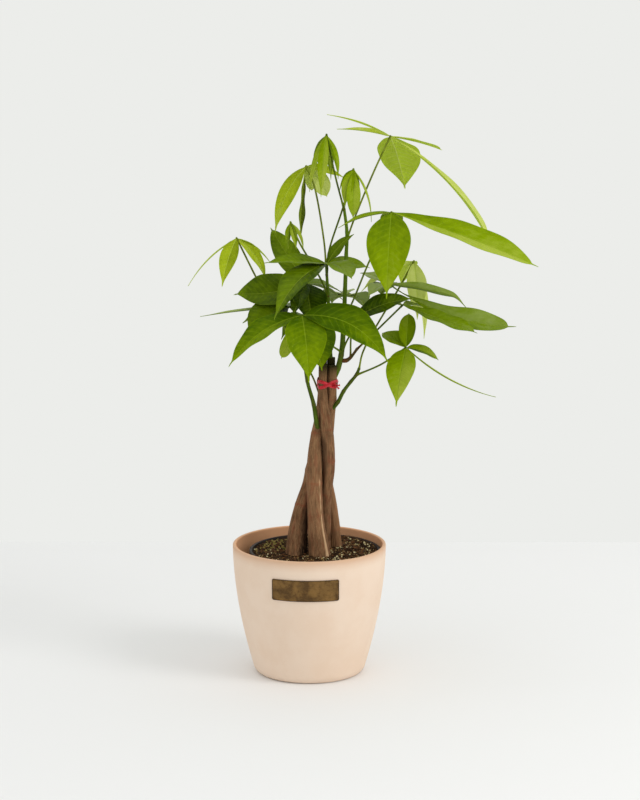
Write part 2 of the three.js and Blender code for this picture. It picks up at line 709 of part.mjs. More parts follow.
// A thin arched blade, folded along its midrib
function blade(hub, { tip, width, arch, face, widest, taper }) {
  const along = vec(tip).sub(vec(hub)).normalize();
  const root = vec(hub).addScaledVector(along, 0.6 * HUB_RADIUS);
  const chord = vec(tip).sub(root);
  const length = chord.length();
  const steps = THREE.MathUtils.clamp(Math.round(length / BLADE_STEP), BLADE_FEWEST, BLADE_MOST);
  const rise = new THREE.Vector3(0, 0, 1).addScaledVector(along, -along.z).normalize();
  const control = root.clone().addScaledVector(chord, 0.5).addScaledVector(rise, arch * length);
  const midrib = new THREE.QuadraticBezierCurve3(root, control, vec(tip));
  const lift = Math.tan(THREE.MathUtils.degToRad(BLADE_FOLD));
  const rings = [];
  for (let step = 0; step <= steps; step++) {
    const share = step / steps;
    const centre = midrib.getPoint(share);
    const tangent = midrib.getTangent(share);
    const normal = vec(face);
    normal.addScaledVector(tangent, -normal.dot(tangent)).normalize();
    const side = tangent.clone().cross(normal);
    const least = THREE.MathUtils.lerp(BLADE_ROOT, BLADE_END, share);
    const half = Math.max((width / 2) * outline(share, widest, taper), least);
    const at = (out, up) =>
      centre
        .clone()
        .addScaledVector(side, out * half)
        .addScaledVector(normal, Math.abs(out) * half * lift + up);
    const over = BLADE_THICKNESS / 2;
    rings.push([at(-1, over), at(0, over), at(1, over), at(1, -over), at(0, -over), at(-1, -over)]);
  }
  return solidOf(bladeSkin(rings));
}

// Both faces of a blade are split alike, from the midrib out and forwards
function bladeSkin(rings) {
  const sides = 6;
  const index = [];
  const quad = (a, b, c, d) => index.push(a, b, c, a, c, d);
  for (let ring = 0; ring < rings.length - 1; ring++) {
    const [tl, tm, tr, br, bm, bl] = [0, 1, 2, 3, 4, 5].map((side) => ring * sides + side);
    quad(tm, tm + sides, tl + sides, tl);
    quad(tr, tr + sides, tm + sides, tm);
    quad(bl, bl + sides, bm + sides, bm);
    quad(bm, bm + sides, br + sides, br);
    quad(tl, tl + sides, bl + sides, bl);
    quad(br, br + sides, tr + sides, tr);
  }
  const last = (rings.length - 1) * sides;
  index.push(0, 5, 1, 1, 5, 4, 1, 4, 2, 2, 4, 3);
  index.push(last, last + 1, last + 5, last + 1, last + 4, last + 5);
  index.push(last + 1, last + 2, last + 4, last + 2, last + 3, last + 4);
  const geometry = new THREE.BufferGeometry().setFromPoints(rings.flat());
  geometry.setIndex(index);
  return geometry;
}

// A compound leaf: stalk, hub and leaflets grown as one piece
function frond({ stalk, leaflets }) {
  const hub = stalk[stalk.length - 1];
  const points = stalk.map((point, place) => [...point, place === 0 ? STALK_FOOT : STALK_RADIUS]);
  const petiole = stem(points, STALK_SIDES, 2 * (stalk.length - 1));
  const knob = solidOf(new THREE.IcosahedronGeometry(HUB_RADIUS).translate(...hub));
  return joined([petiole, knob, ...leaflets.map((shape) => blade(hub, shape))]);
}

// Assembly

const group = new THREE.Group();
group.name = "potted_money_tree";
const add = (name, solid, finish) => group.add(meshOf(name, solid, finish));

const grown = {}; // every stem with the gap added, to cut what grows from it
for (const [name, points] of Object.entries(TRUNKS)) {
  const neighbours = Object.values(grown);
  add(name, cutBy(stem(points, TRUNK_SIDES, TRUNK_STEPS), ...neighbours), "bark");
  grown[name] = stem(points, TRUNK_SIDES, TRUNK_STEPS, GAP);
}
const braid = Object.values(grown);

for (const [name, { from, finish, points }] of Object.entries(SHOOTS)) {
  const steps = SHOOT_STEPS * (points.length - 1);
  add(name, cutBy(stem(points, SHOOT_SIDES, steps), grown[from]), finish);
  grown[name] = stem(points, SHOOT_SIDES, steps, GAP);
}

for (const [name, shape] of Object.entries(FRONDS)) {
  add(name, cutBy(frond(shape), grown[shape.from]), shape.finish);
}

add("planter", planter(), "planter");
add("name_plate", namePlate(), "bronze");
add("nursery_pot", nurseryPot(), "black_plastic");
add("soil", soil(braid), "soil");
add("twist_tie", twistTie(braid), "red_wire");

export default group;
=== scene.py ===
import math

import bpy
import numpy as np
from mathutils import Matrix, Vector, noise


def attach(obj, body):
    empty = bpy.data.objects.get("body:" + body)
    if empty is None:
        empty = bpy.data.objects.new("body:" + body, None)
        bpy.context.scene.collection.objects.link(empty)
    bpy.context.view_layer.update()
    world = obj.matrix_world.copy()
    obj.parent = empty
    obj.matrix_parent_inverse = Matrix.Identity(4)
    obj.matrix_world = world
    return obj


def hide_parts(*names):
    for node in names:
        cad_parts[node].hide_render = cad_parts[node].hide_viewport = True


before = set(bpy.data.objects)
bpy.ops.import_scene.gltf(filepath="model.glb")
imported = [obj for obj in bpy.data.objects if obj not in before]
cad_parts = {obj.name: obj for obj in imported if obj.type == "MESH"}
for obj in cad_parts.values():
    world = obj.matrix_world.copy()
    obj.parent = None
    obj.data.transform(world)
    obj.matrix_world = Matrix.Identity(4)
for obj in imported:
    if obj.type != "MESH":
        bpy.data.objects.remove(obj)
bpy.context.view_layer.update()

# Lengths below are in millimetres, as in the part's source, and become metres in new_piece
MM = 0.001
UP = np.array((0.0, 0.0, 1.0))
TURN = 2 * math.pi

PLANTER_HEIGHT = 141
PLANTER_RADIUS = 82.5
PLANTER_TAPER = 24
PLANTER_CURVE = 1.8
PLANTER_WALL = 3.9
PLANTER_FLOOR = 6
LIP = 1.7
FOOT_RECESS = 1.2

# Heights between which the planter's warmer rim colour sets in
RIM_BLUSH = (128, 140)

PLATE_WIDTH = 71
PLATE_HEIGHT = 23.4
PLATE_CORNER = 1.8
PLATE_THICKNESS = 1.2
PLATE_CENTRE = (-3.8, 109)
PLATE_GAP = 0.3
PLATE_BEVEL = 0.35
PLATE_BEVEL_WIDTH = 0.9
PLATE_DENT = 0.05

# Width of the darker tarnish round the plate's edge
PLATE_RIM_WIDTH = 1.3

NURSERY_TOP = 134
NURSERY_SHIFT = 6.2
NURSERY_FOOT_RADIUS = 45.5
NURSERY_WALL_RADIUS = 69.2
NURSERY_RIM_RADIUS = 71
NURSERY_RIM_HEIGHT = 7
NURSERY_WALL = 1.2
NURSERY_BASE = 1.8
NURSERY_GAP = 0.3

SOIL_LEVEL = 131
SOIL_MOUND = 0.8
SOIL_RADIUS = 67
SOIL_BANK = 3.0
SOIL_GAP = 2
SOIL_LOWER_LEVELS = (60, 9)
MOSS = dict(x=-35, y=30, rise=2.6, spread=13)

# Sides of the tubes that the stems are made of
BARK_SIDES = 56
SHOOT_SIDES = 20
STALK_SIDES = 14

# The tie's turns cross as they rise and fall by TIE_SWING. TIE_SNUG draws their route in towards TIE_CENTRE, and
# TIE_LIFTS says how far out each one lies, so that one passes over the other
TIE_CENTRE = np.array((19.5, 1.5, 0.0))
TIE_SNUG = np.array((0.9, 0.95))
TIE_LEVEL = 316.9
TIE_SWING = 3.2
TIE_LIFTS = (-0.1, 0.45)

# Leaflets: DRIP_TIP is the share of the length that is a fine tip, HOOK_START where a tip begins to be drawn aside,
# SIDE_VEINS how many pairs there are on a long one, VEIN_SLANT and VEIN_BEND how they lean towards the tip
HUB_RADIUS = 2.1
STALK_RADIUS = 0.98
BLADE_TAPER = 2.2
DRIP_TIP = 0.045
HOOK_START = 0.84
BLADE_FOLD = math.tan(math.radians(14))
BLADE_COLUMNS = 9
BLADE_MIDDLE_THICKNESS = 0.5
BLADE_EDGE_THICKNESS = 0.2
RIB_HEIGHT = 0.75
RIB_WIDTH = 0.7
GROOVE_DEPTH = 0.18
GROOVE_WIDTH = 0.6
QUILT_DEPTH = 0.34
WAVE_HEIGHT = 0.95
SIDE_VEINS = 13.5
LEAST_VEIN_SPACING = 3.2
VEIN_SLANT = 0.6
VEIN_BEND = 0.012

# The braid: points (x, y, z, radius) from the end in the soil to the cut top, and the heights of its leaf scars
TRUNKS = {
    "trunk_front": [
        (11.2, -13.6, 103, 11.4), (11, -14, 129, 11.9), (9.9, -14, 143, 10.8), (8.2, -14, 157, 9.6),
        (6.9, -14, 173, 8.5), (6, -13.4, 190, 8.3), (5.2, -11.5, 212, 8.3), (6, -8.6, 236, 7.7),
        (7.2, -4.6, 256, 6.3), (10, 0.2, 273, 5.3), (12.3, 4.2, 287, 4.9), (13.4, 5.6, 302, 4.7),
        (14.4, 5.4, 318, 4.5), (14.6, 6.2, 343, 4.2),
    ],
    "trunk_middle": [
        (14, 17.5, 103, 8.2), (14.5, 16.5, 128, 8.5), (15, 12.6, 152, 8.2), (16.2, 8, 172, 7.4),
        (18, 1.6, 194, 6.3), (19.6, -3, 211, 6.2), (20.8, -7, 226, 6.6), (20.7, -8.8, 244, 6.6),
        (19.4, -8.4, 264, 6.3), (17.4, -7.2, 282, 5.8), (15.4, -6.2, 297, 5), (14.7, -4.9, 314, 4.5),
        (15, -4.4, 338, 4.2),
    ],
    "trunk_right": [
        (28.5, 26.5, 103, 6), (28.4, 25, 128, 6.4), (28, 22.5, 145, 6), (26, 19.6, 166, 5.5),
        (23.2, 16, 187, 5.3), (19.8, 12.6, 205, 5.3), (18.4, 9.2, 222, 5.4), (18.9, 6.8, 240, 5.4),
        (20.6, 5.2, 259, 5.3), (22.2, 3.8, 279, 5.1), (23.9, 1.4, 297, 4.9), (24.4, -1.6, 315, 4.8),
        (25.4, -2, 336, 4.4),
    ],
    "trunk_left": [
        (-15, -8.6, 103, 10.4), (-14.6, -8, 125, 11.1), (-13.1, -5.6, 145, 10.8), (-10.5, -1.8, 166, 9.5),
        (-5.9, 2.8, 185, 8.7), (0.4, 7, 205, 7.8), (3.6, 10.4, 222, 7.4), (8.4, 14, 240, 6.8),
        (12, 15.2, 258, 6.1), (15.6, 15, 274, 5.6), (19.4, 13.4, 291, 5.1), (23, 9.2, 312, 4.6),
        (23.4, 8.6, 343, 4.2),
    ],
}
SCARS = {
    "trunk_front": (176, 210, 262),
    "trunk_middle": (196, 234, 268),
    "trunk_right": (152, 214, 300),
    "trunk_left": (182, 219, 252),
}

# The way that the raised ridge line of a stem faces, pale along it with a painted highlight, its width in radians,
# and the heights between which it fades
HIGHLIT_RIDGES = {"trunk_front": (0.72, -0.7, 0)}
HIGHLIT_RIDGE_WIDTH = 0.16
HIGHLIT_RIDGE_FADE = (222, 212)

# Flanks that lie in the shade of a neighbour: how deep, then from which to which share of its x, and of its height,
# a stem's surface passes from bare to shaded
SHADED_FLANKS = {
    "trunk_left": (0.75, (0.1, 0.6), (236, 206)),
    "trunk_middle": (0.6, (-0.25, -0.65), (268, 256)),
}

# How much painted light lies on the bark of each stem, painting it paler than the rest, most on the stems that face
# the lamp
LIT_BARK = {"trunk_front": 0.16, "trunk_middle": 0.04, "trunk_right": 0.36, "trunk_left": 0}

# Young stems, and the finish of each
SHOOTS = {
    "shoot_main": ("green_stem", [
        (25.6, -1.6, 322, 3.2), (30.6, -0.4, 333, 3.1), (34, 0.5, 347, 2.9), (36.4, 0, 375, 2.6),
        (38, 0, 417, 2.2), (39.2, 0, 455, 2), (39.9, 0, 479, 1.8), (36.8, 0, 505, 1.5),
    ]),
    "shoot_second": ("green_stem", [
        (23, 8, 338, 2.4), (22.2, 6.6, 352, 2.2), (21, 4, 366, 2), (20.4, 3, 405, 1.7), (17.8, 2, 447, 1.4),
    ]),
    "shoot_left": ("green_stem", [
        (10.5, -1.5, 264, 2.3), (8, -7, 274, 2.5), (4.8, -7.4, 295, 2.2), (-2, -5, 320, 1.9),
        (-6.4, -2, 356, 1.7), (-9, 2, 384, 1.5),
    ]),
    "shoot_right": ("green_stem", [
        (25, 0.5, 289, 2.2), (30.6, -4, 297, 2.1), (36.5, -6.5, 309, 2), (44, -7.5, 319.5, 1.8),
        (50.5, -8, 328, 1.7), (53.2, -6.8, 334.5, 1.5),
    ]),
    "shoot_side": ("brown_stem", [
        (34, 0.4, 341, 1.9), (39.5, -0.6, 341.5, 2.1), (44, -1.8, 345, 1.6), (51.5, -4, 355.5, 1.4),
    ]),
}


def leaflet(
        tip, width, arch=0.1, face=(0, 0, 1), widest=0.43, taper=BLADE_TAPER, wave=0.8, hook=(0, 0, 0), tone=0.5):
    """Tip, width, arch of the midrib, the way the upper face looks, where it is widest, how fast it narrows from
    there, the wave of its edges, how far its tip is drawn aside, and its tone, which paints the light and shade
    that fall on it: below 0 near black, a painted deep shade, 0 deep, 1 light, 2 pale, painted sheen and light, or
    one tone for either half, where the two halves catch the light differently."""
    return dict(
        tip=tip, width=width, arch=arch, face=face, widest=widest, taper=taper, wave=wave, hook=hook, tone=tone
    )


# Fronds: finish, stalk from the stem to the hub, leaflets. A leaflet's tone paints the light and shade on it
FRONDS = {
    "frond_high_right": ("leaf_young", [(39.8, 0, 470), (45, 1, 486), (66, 3, 538), (85.5, 5, 580.4)], [
        leaflet((18.8, -10, 604.6), 9, 0.08, wave=0.2, tone=1.6),
        leaflet((29.5, 40, 583.8), 15, 0.06, (0, -0.1, 1), wave=0.3, tone=1.2),
        leaflet((102.7, 60, 517.1), 47, 0.1, (0, 0, 1), 0.47, tone=1.4),
        leaflet((141.6, 50, 560.3), 17, 0.04, (0, -0.1, 1), 0.66, 1.8, wave=0.3, tone=1.5),
        leaflet((190.4, 8, 468.6), 32, 0.14, (0, -0.07, 1), 0.8, 1.6, wave=0.3, tone=1.6),
    ]),
    "frond_wide_right": ("leaf_fresh", [(37.4, 0, 388), (44, -4, 401), (62.5, -18, 449), (86, -35, 505.5)], [
        leaflet((30.2, -42, 489.7), 18, 0.12, wave=0.4, tone=(1.3, 0.95)),
        leaflet((79.9, -95, 423.7), 46, 0.16, wave=0.5, tone=(0.8, 0.65)),
        leaflet((238.2, -60, 451.5), 43, 0.03, (0, -0.35, 1), 0.6, 1.8, wave=0.5, tone=(0.95, 1.9)),
        leaflet((88, 25, 468), 24, 0.12),
    ]),
    "frond_crown": ("leaf_fresh", [(36.9, 0, 503), (27.6, -3, 539), (18.3, -5, 583.1)], [
        leaflet((0.5, -18, 524.2), 8, 0.12, (-0.7, -0.7, 0.3), wave=0.4, tone=1.5),
        leaflet((12.5, -24, 519.5), 11, 0.12, (-0.1, -1, 0.3), wave=0.5, tone=(1.6, 0.9)),
        leaflet((30.5, -10, 537), 8, 0.14, (0.6, -0.8, 0.3), wave=0.4, tone=(1.1, 0.5)),
        leaflet((23, 12, 533), 9, 0.14, (0.4, 1, 0.3), tone=1.5),
        leaflet((5, 10, 545), 9, 0.14, (-0.6, 0.8, 0.3), tone=0.8),
    ]),
    "frond_high_left": ("leaf_young", [(17.9, 4, 444), (15.5, 8, 470), (5, 20, 527), (-3.3, 28, 545.9)], [
        leaflet((-36.1, 10, 476.8), 18, 0.19, (0.3, -0.95, 0.3), wave=0.4, tone=(0.85, 0.9)),
        leaflet((-9.3, 26, 468), 14, 0.05, (0.9, -0.4, 0.1), 0.66, wave=1.6, tone=(-0.7, 0.1)),
        leaflet((19, 46, 510.3), 20, 0.14, (0.1, -1, 0.4), 0.58, 1.6, wave=0.4, tone=2),
        leaflet((37.6, 40, 531.5), 12, 0.1, (0, -0.6, 0.8), wave=0.3, tone=0.6),
        leaflet((3, 40, 517.6), 11, 0.1, (-0.2, -1, 0.4), 0.6, 1.4, wave=0.3, tone=1.9),
    ]),
    "frond_young_middle": (
        "leaf_fresh", [(18.4, 1.4, 443), (21.8, -3, 463), (35.7, -8, 506.6), (46.6, -14, 547.9)], [
        leaflet((32, -6, 524), 7, 0.16, (-0.8, -0.4, 0.3), wave=0.4, tone=0.9),
        leaflet((37.5, -26, 509), 13, 0.15, (-0.3, -1, 0.3), wave=0.4, tone=(1, 1.3)),
        leaflet((46, -30, 497), 15, 0.13, (0.2, -1, 0.3), 0.55, wave=0.4, tone=(1.5, 1.1)),
        leaflet((65.5, -16, 492.3), 5, 0.16, (0.9, -0.4, 0.3), wave=0.2, tone=1.9),
        leaflet((49, 2, 505), 10, 0.14, (0.1, 1, 0.3), tone=1.3),
    ]),
    "frond_middle_front": ("leaf_mature", [(18.6, 2.2, 433), (19.4, -5, 441), (18.9, -12, 447.6)], [
        leaflet((-47.2, -45, 453.2), 24, 0.06, (0, -0.35, 1), wave=0.5, tone=(0.8, 0.6)),
        leaflet((-36, -85, 400.1), 36, 0.24, (-0.2, -0.4, 1), tone=(0.25, 0.45)),
        leaflet((44.5, -80, 442.1), 28, 0.14, (0, -0.2, 1), 0.55, 1.6, tone=(1.1, 0.9)),
        leaflet((47.3, -12, 479), 13, 0.14, (-0.3, -0.9, 0.5), wave=2.2, tone=0.5),
        leaflet((65.3, 48, 433.3), 14, 0.08, (0.3, -1, 0.5), wave=1.8, tone=1.1),
    ]),
    "frond_far_left": (
        "leaf_young", [(12.8, 6, 297), (4, 9, 321), (-11, 12, 347), (-52, 14, 420), (-77, 12, 471.2)], [
        leaflet((-128.3, 0, 421.6), 3.8, 0.14, wave=0, tone=1.6),
        leaflet((-91.5, -25, 424.7), 19, 0.14, (-0.2, -1, 0.4), wave=0.5, tone=(0.6, 0.9)),
        leaflet((-46, 16, 425), 14, 0.2, (0.5, -0.8, 0.5), wave=0.9, tone=(0.8, 1.1)),
        leaflet((-41.9, 30, 442.6), 10, 0.14, (0.2, 0, 1), wave=0.4, tone=0.8),
    ]),
    "frond_young_left": (
        "leaf_fresh", [(20.2, 2.8, 410), (13, -3, 428), (2, -6, 448), (-10, -2, 468), (-19.7, 6, 489.1)], [
        leaflet((-24.4, 0, 467.6), 6, 0.14, (-0.8, -0.6, 0.3), wave=0.4, tone=0.9),
        leaflet((-13.6, -2, 461), 7, 0.1, (0.1, -1, 0.3), wave=0.4, tone=(0.7, 1.6)),
        leaflet((-6, 4, 459), 6, 0.18, (0.7, -0.5, 0.3), wave=0.4, tone=1.8),
        leaflet((-22, 9, 460), 6, 0.14, (-0.2, 1, 0.3), tone=1.3),
    ]),
    "frond_centre_left": ("leaf_mature", [(20.9, 3.6, 376), (12, 2, 400), (-3.3, -2, 425.2)], [
        leaflet((-41.4, 35, 479), 26, -0.02, (-0.2, -0.8, 0.5), 0.5, 1.6, tone=(0.45, 0.7)),
        leaflet((-79.4, -20, 417.5), 42, -0.13, (0, -1, 1), 0.5, 1.8, hook=(0, 0, -2), tone=0.38),
        leaflet((35, 30, 409.6), 21, 0.12, (0, -0.3, 0.9), wave=0.6, tone=1.1),
        leaflet((36.2, 44, 399.1), 12, 0.1, wave=0.4, tone=1.9),
        leaflet((-16.5, -44, 396), 20, 0.12, tone=0.1),
        leaflet((3.5, -44, 387), 38, 0.08, (0.1, -0.4, 1), tone=(0.1, 0.15)),
    ]),
    "frond_front_low": ("leaf_fresh", [(34.6, 0.5, 350), (11, -31, 373), (-7.2, -62, 401.3)], [
        leaflet((-83.3, -85, 350.6), 34, 0.22, (-0.1, -0.4, 1), tone=(0.6, 0.2)),
        leaflet((0.2, -125, 341.6), 43, 0.2, tone=0.4),
        leaflet((82.8, -95, 355.7), 44, 0.32, (0.1, -0.7, 1), tone=0.1),
        leaflet((13.6, -20, 333.8), 44, 0.18, (0.1, -0.9, 0.3), 0.5, tone=0),
        leaflet((-29.4, -38, 350.4), 14, 0, (0, -1, 0.4), 0.66, 1.4, wave=0.3, tone=(1.4, 1.2)),
    ]),
    "frond_left_low": ("leaf_mature", [(-8.4, 1, 379), (-13, -5, 391), (-20, -10, 401)], [
        leaflet((-114.2, -35, 395), 10, 0.03, wave=0.3, tone=2),
        leaflet((-64.8, -50, 381.1), 36, 0.12, (0, -0.7, 0.7), 0.55, tone=(-0.1, 0.5)),
        leaflet((-70.5, -18, 384.8), 24, 0.12, (0, -0.4, 1), tone=1.5),
        leaflet((-30, 50, 388), 22, 0.14),
    ]),
    "frond_right_long": ("leaf_mature", [(36, 0.2, 353), (42, 0, 366), (66, 2, 398), (83.6, 2, 423.4)], [
        leaflet((163.5, 2, 407.4), 18, 0.05, (0, -0.35, 1), 0.57, 1.4, hook=(7, 0, -14), tone=(1.5, 0.6)),
        leaflet((213, -28, 381), 33, -0.13, (0, -0.55, 1), 0.78, 2.5, hook=(5, 0, 2), tone=(1.3, 0.95)),
        leaflet((54.4, 45, 428.3), 22, 0.1, (0, -0.2, 1), wave=0.6, tone=1.7),
        leaflet((61.7, -42, 417.6), 22, 0.12, tone=1.6),
        leaflet((78, 60, 400), 26, 0.14),
    ]),
    "frond_right_lower": ("leaf_mature", [(50, -3.5, 353.5), (73, -7, 376.5), (99, -10, 403)], [
        leaflet((175.8, -56, 381), 20, 0, (0, -0.5, 1), 0.6, 1.5, wave=1.6, tone=(1, 0.9)),
        leaflet((132, 20, 392), 22, 0.12, tone=1.4),
        leaflet((58, 34, 394), 16, 0.12, wave=0.6, tone=1.7),
    ]),
    "frond_right_inner": ("leaf_mature", [(44, -1.8, 345), (44, -7, 360), (45, -22, 389)], [
        leaflet((108.5, -40, 415), 26, 0.12, (0, -0.8, 1), 0.5, tone=0.2),
        leaflet((68, -62, 366), 26, 0.16, tone=0.3),
        leaflet((28, -46, 392), 18, 0.1),
        leaflet((12, -8, 372), 20, 0.16),
    ]),
    "frond_right_back": (
        "leaf_young", [(52.9, -6.9, 333), (57.5, -3, 352), (98, 30, 418), (112.3, 45, 441.4)], [
        leaflet((55.5, 40, 408.5), 20, 0.14, (-0.2, -0.3, 1), wave=0.5, tone=1.9),
        leaflet((115.6, 25, 381), 22, 0.16, (0.2, -1, 0.4), wave=0.5, tone=2),
        leaflet((123.5, 42, 356.9), 13, 0.1, (0.5, -0.6, 0.4), wave=0.4, tone=2),
        leaflet((100, 108, 402), 20, 0.16, tone=1),
    ]),
    "frond_low_right": ("leaf_fresh", [(50, -8, 327), (77, -18, 341), (102.2, -28, 360.6)], [
        leaflet((105.9, 0, 392.6), 18, 0.08, (0, 0, 1), 0.52, 1.3, wave=0.3, tone=(1.05, 0.65)),
        leaflet((77.6, 10, 369.2), 20, 0.1, (-0.2, -0.4, 1), 0.5, 1.6, wave=0.5, tone=1),
        leaflet((90.6, -80, 307.3), 31, 0.16, (0, 0, 1), 0.42, wave=0.6, tone=(1.6, 1)),
        leaflet((136.9, -20, 345.6), 18, 0.14, (0, -0.4, 1), 0.52, 1.5, wave=0.4, tone=(1.1, 0.4)),
        leaflet((197.5, -30, 307.7), 5.5, -0.14, wave=0.2, tone=2),
    ]),
    "frond_back": ("leaf_mature", [(36.6, 0, 368), (38, 22, 386), (39, 58, 401.7)], [
        leaflet((69.8, 70, 386), 20, 0.14, tone=2),
        leaflet((12, 72, 388), 24, 0.14, tone=2),
        leaflet((24, 124, 380), 34, 0.2, tone=1.8),
        leaflet((62, 118, 376), 30, 0.2, tone=2),
    ]),
    "frond_back_low": ("leaf_mature", [(23.4, 8.6, 338), (14, 22, 352), (-6, 46, 382)], [
        leaflet((-44, 62, 366), 26, 0.16),
        leaflet((-22, 108, 350), 34, 0.2),
        leaflet((20, 98, 348), 28, 0.18),
        leaflet((-30, 22, 360), 20, 0.14),
    ]),
}

# How far up from the stem a stalk is woody
WOODY_FOOT = {"frond_far_left": 60, "frond_right_inner": 16, "frond_right_lower": 30}


# Mesh helpers


def unit(v):
    """Each row of v at length one."""
    v = np.asarray(v, float)
    return v / np.linalg.norm(v, axis=-1, keepdims=True)


def ramp(value, start, end):
    """0 up to start, 1 from end on, and a straight line between them."""
    return np.clip((value - start) / (end - start), 0, 1)


def new_piece(name, points, faces, finishes, replaced=(), *, crease, slot=None, marks=None, kinds=None):
    """A mesh piece from points in millimetres, riding on the part, with the finishes given. slot is not used. Edges
    sharper than crease, in degrees, are kept sharp. marks are vectors kept at each point, kinds the number of each
    face's finish."""
    mesh = bpy.data.meshes.new(name)
    mesh.from_pydata((np.asarray(points) * MM).tolist(), [], [tuple(face) for face in faces])
    for mark, values in (marks or {}).items():
        layer = mesh.attributes.new(mark, "FLOAT_VECTOR", "POINT")
        layer.data.foreach_set("vector", np.asarray(values, np.float32).ravel())
    for finish in finishes:
        mesh.materials.append(FINISHES[finish])
    if kinds is not None:
        mesh.polygons.foreach_set("material_index", np.asarray(kinds, np.int32))
    mesh.shade_smooth()
    mesh.set_sharp_from_angle(angle=math.radians(crease))
    mesh.update()
    piece = bpy.data.objects.new(name, mesh)
    bpy.context.scene.collection.objects.link(piece)
    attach(piece, "root")
    slot or finishes[0]
    if replaced:
        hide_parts(*replaced)


class Heap:
    """Collects points, faces and marks of several closed shapes into one mesh."""

    def __init__(self):
        self.points, self.faces, self.kinds, self.marks, self.count = [], [], [], {}, 0

    def add(self, points, faces, kind=0, **marks):
        self.points.append(np.asarray(points, float))
        self.faces += [tuple(i + self.count for i in face) for face in faces]
        self.kinds += [kind] * len(faces)
        for mark, values in marks.items():
            self.marks.setdefault(mark, []).append(np.broadcast_to(values, (len(points), 3)))
        self.count += len(points)

    def piece(self, name, finishes, replaced=(), **rest):
        marks = {mark: np.concatenate(values) for mark, values in self.marks.items()}
        new_piece(
            name, np.concatenate(self.points), self.faces, finishes, replaced, marks=marks, kinds=self.kinds, **rest
        )


def smooth_route(points, per_span, closed=False):
    """A centripetal curve through points, whose further columns, such as a radius, ride along."""
    p = np.asarray(points, float)
    if closed:
        p = np.vstack((p[-1], p, p[0], p[1]))
    else:
        p = np.vstack((2 * p[0] - p[1], p, 2 * p[-1] - p[-2]))
    out = []
    for a, b, c, d in zip(p, p[1:], p[2:], p[3:]):
        step = [max(np.linalg.norm(e[:3] - f[:3]) ** 0.5, 1e-4) for e, f in ((a, b), (b, c), (c, d))]
        start = step[1] * ((b - a) / step[0] - (c - a) / (step[0] + step[1]) + (c - b) / step[1])
        end = step[1] * ((c - b) / step[1] - (d - b) / (step[1] + step[2]) + (d - c) / step[2])
        square, cube = 3 * (c - b) - 2 * start - end, 2 * (b - c) + start + end
        out += [b + start * t + square * t * t + cube * t**3 for t in np.arange(per_span) / per_span]
    if not closed:
        out.append(p[-2])
    return np.array(out)


def carried_frames(route):
    """Two cross directions at each point of a route, turned as little as possible."""
    tangent = unit(np.gradient(route[:, :3], axis=0))
    across = [unit(np.cross(tangent[0], (0.0, 1.0, 0.0)))]
    for t in tangent[1:]:
        last = across[-1]
        across.append(unit(last - t * last.dot(t)))
    across = np.array(across)
    return across, np.cross(tangent, across)


def tube_faces(rings, sides, closed=False):
    """Faces of a tube of rings, capped at both ends unless it closes on itself."""
    faces = []
    for i in range(rings if closed else rings - 1):
        here, there = i * sides, (i + 1) % rings * sides
        for j in range(sides):
            k = (j + 1) % sides
            faces.append((here + j, here + k, there + k, there + j))
    if not closed:
        faces.append(tuple(reversed(range(sides))))
        faces.append(tuple(range((rings - 1) * sides, rings * sides)))
    return faces


def two_skins(rows, columns):
    """Faces of a sheet closed round its edge. Each of its two skins has a point more each way than it has faces."""
    wide = columns + 1
    size = wide * (rows + 1)
    faces = []
    for i in range(rows):
        for a in range(i * wide, i * wide + columns):
            faces.append((a, a + 1, a + wide + 1, a + wide))
            faces.append((size + a + wide, size + a + wide + 1, size + a + 1, size + a))
    rim = [*range(wide), *range(2 * wide - 1, size, wide)]
    rim += [*range(size - 2, size - wide - 1, -1), *range(size - 2 * wide, 0, -wide)]
    for a, b in zip(rim, rim[1:] + rim[:1]):
        faces.append((a, size + a, size + b, b))
    return faces


def ring(radius, sides, shift=0.0):
    """Points (x, y) of a circle round the vertical axis."""
    return [
        (shift + radius * math.cos(a), radius * math.sin(a)) for a in np.linspace(0, TURN, sides, endpoint=False)
    ]


def tube(route, sides, bulge=None):
    """Points of a tube along a route of (x, y, z, radius), and each point's (round, along, out)."""
    across, third = carried_frames(route)
    along = np.concatenate(([0], np.cumsum(np.linalg.norm(np.diff(route[:, :3], axis=0), axis=1))))
    angle = np.linspace(0, TURN, sides, endpoint=False)
    points, places = [], []
    for i, row in enumerate(route):
        out = np.outer(np.cos(angle), across[i]) + np.outer(np.sin(angle), third[i])
        radius = np.full(sides, row[3])
        if bulge:
            radius = radius + np.array([bulge(row, o) for o in out])
        points.append(row[:3] + out * radius[:, None])
        places.append(np.column_stack((np.cos(angle) * row[3], np.sin(angle) * row[3], np.full(sides, along[i]))))
    return np.concatenate(points), np.concatenate(places)


def lathe(profile, sides, shift=0.0):
    """A closed round body from a profile of (radius, height) that starts and ends on the axis."""
    inner = profile[1:-1]
    points = [(shift, 0, profile[0][1])]
    for radius, height in inner:
        points += [(x, y, height) for x, y in ring(radius, sides, shift)]
    points.append((shift, 0, profile[-1][1]))
    faces = []
    last = 1 + (len(inner) - 1) * sides
    for j in range(sides):
        k = (j + 1) % sides
        faces.append((0, 1 + k, 1 + j))
        faces += [(a + j, a + k, a + sides + k, a + sides + j) for a in range(1, last, sides)]
        faces.append((last + j, last + k, len(points) - 1))
    return points, faces


def rounded(profile, corners, steps):
    """The profile with the corners named in corners rounded: index to radius."""
    out = []
    for i, point in enumerate(profile):
        if i not in corners:
            out.append(tuple(point))
            continue
        here = np.array(point, float)
        back, on = (here + unit(np.array(profile[k]) - here) * corners[i] for k in (i - 1, i + 1))
        for t in np.linspace(0, 1, steps + 1):
            out.append(tuple((1 - t) ** 2 * back + 2 * t * (1 - t) * here + t * t * on))
    return out


# Material helpers


FINISHES = {}


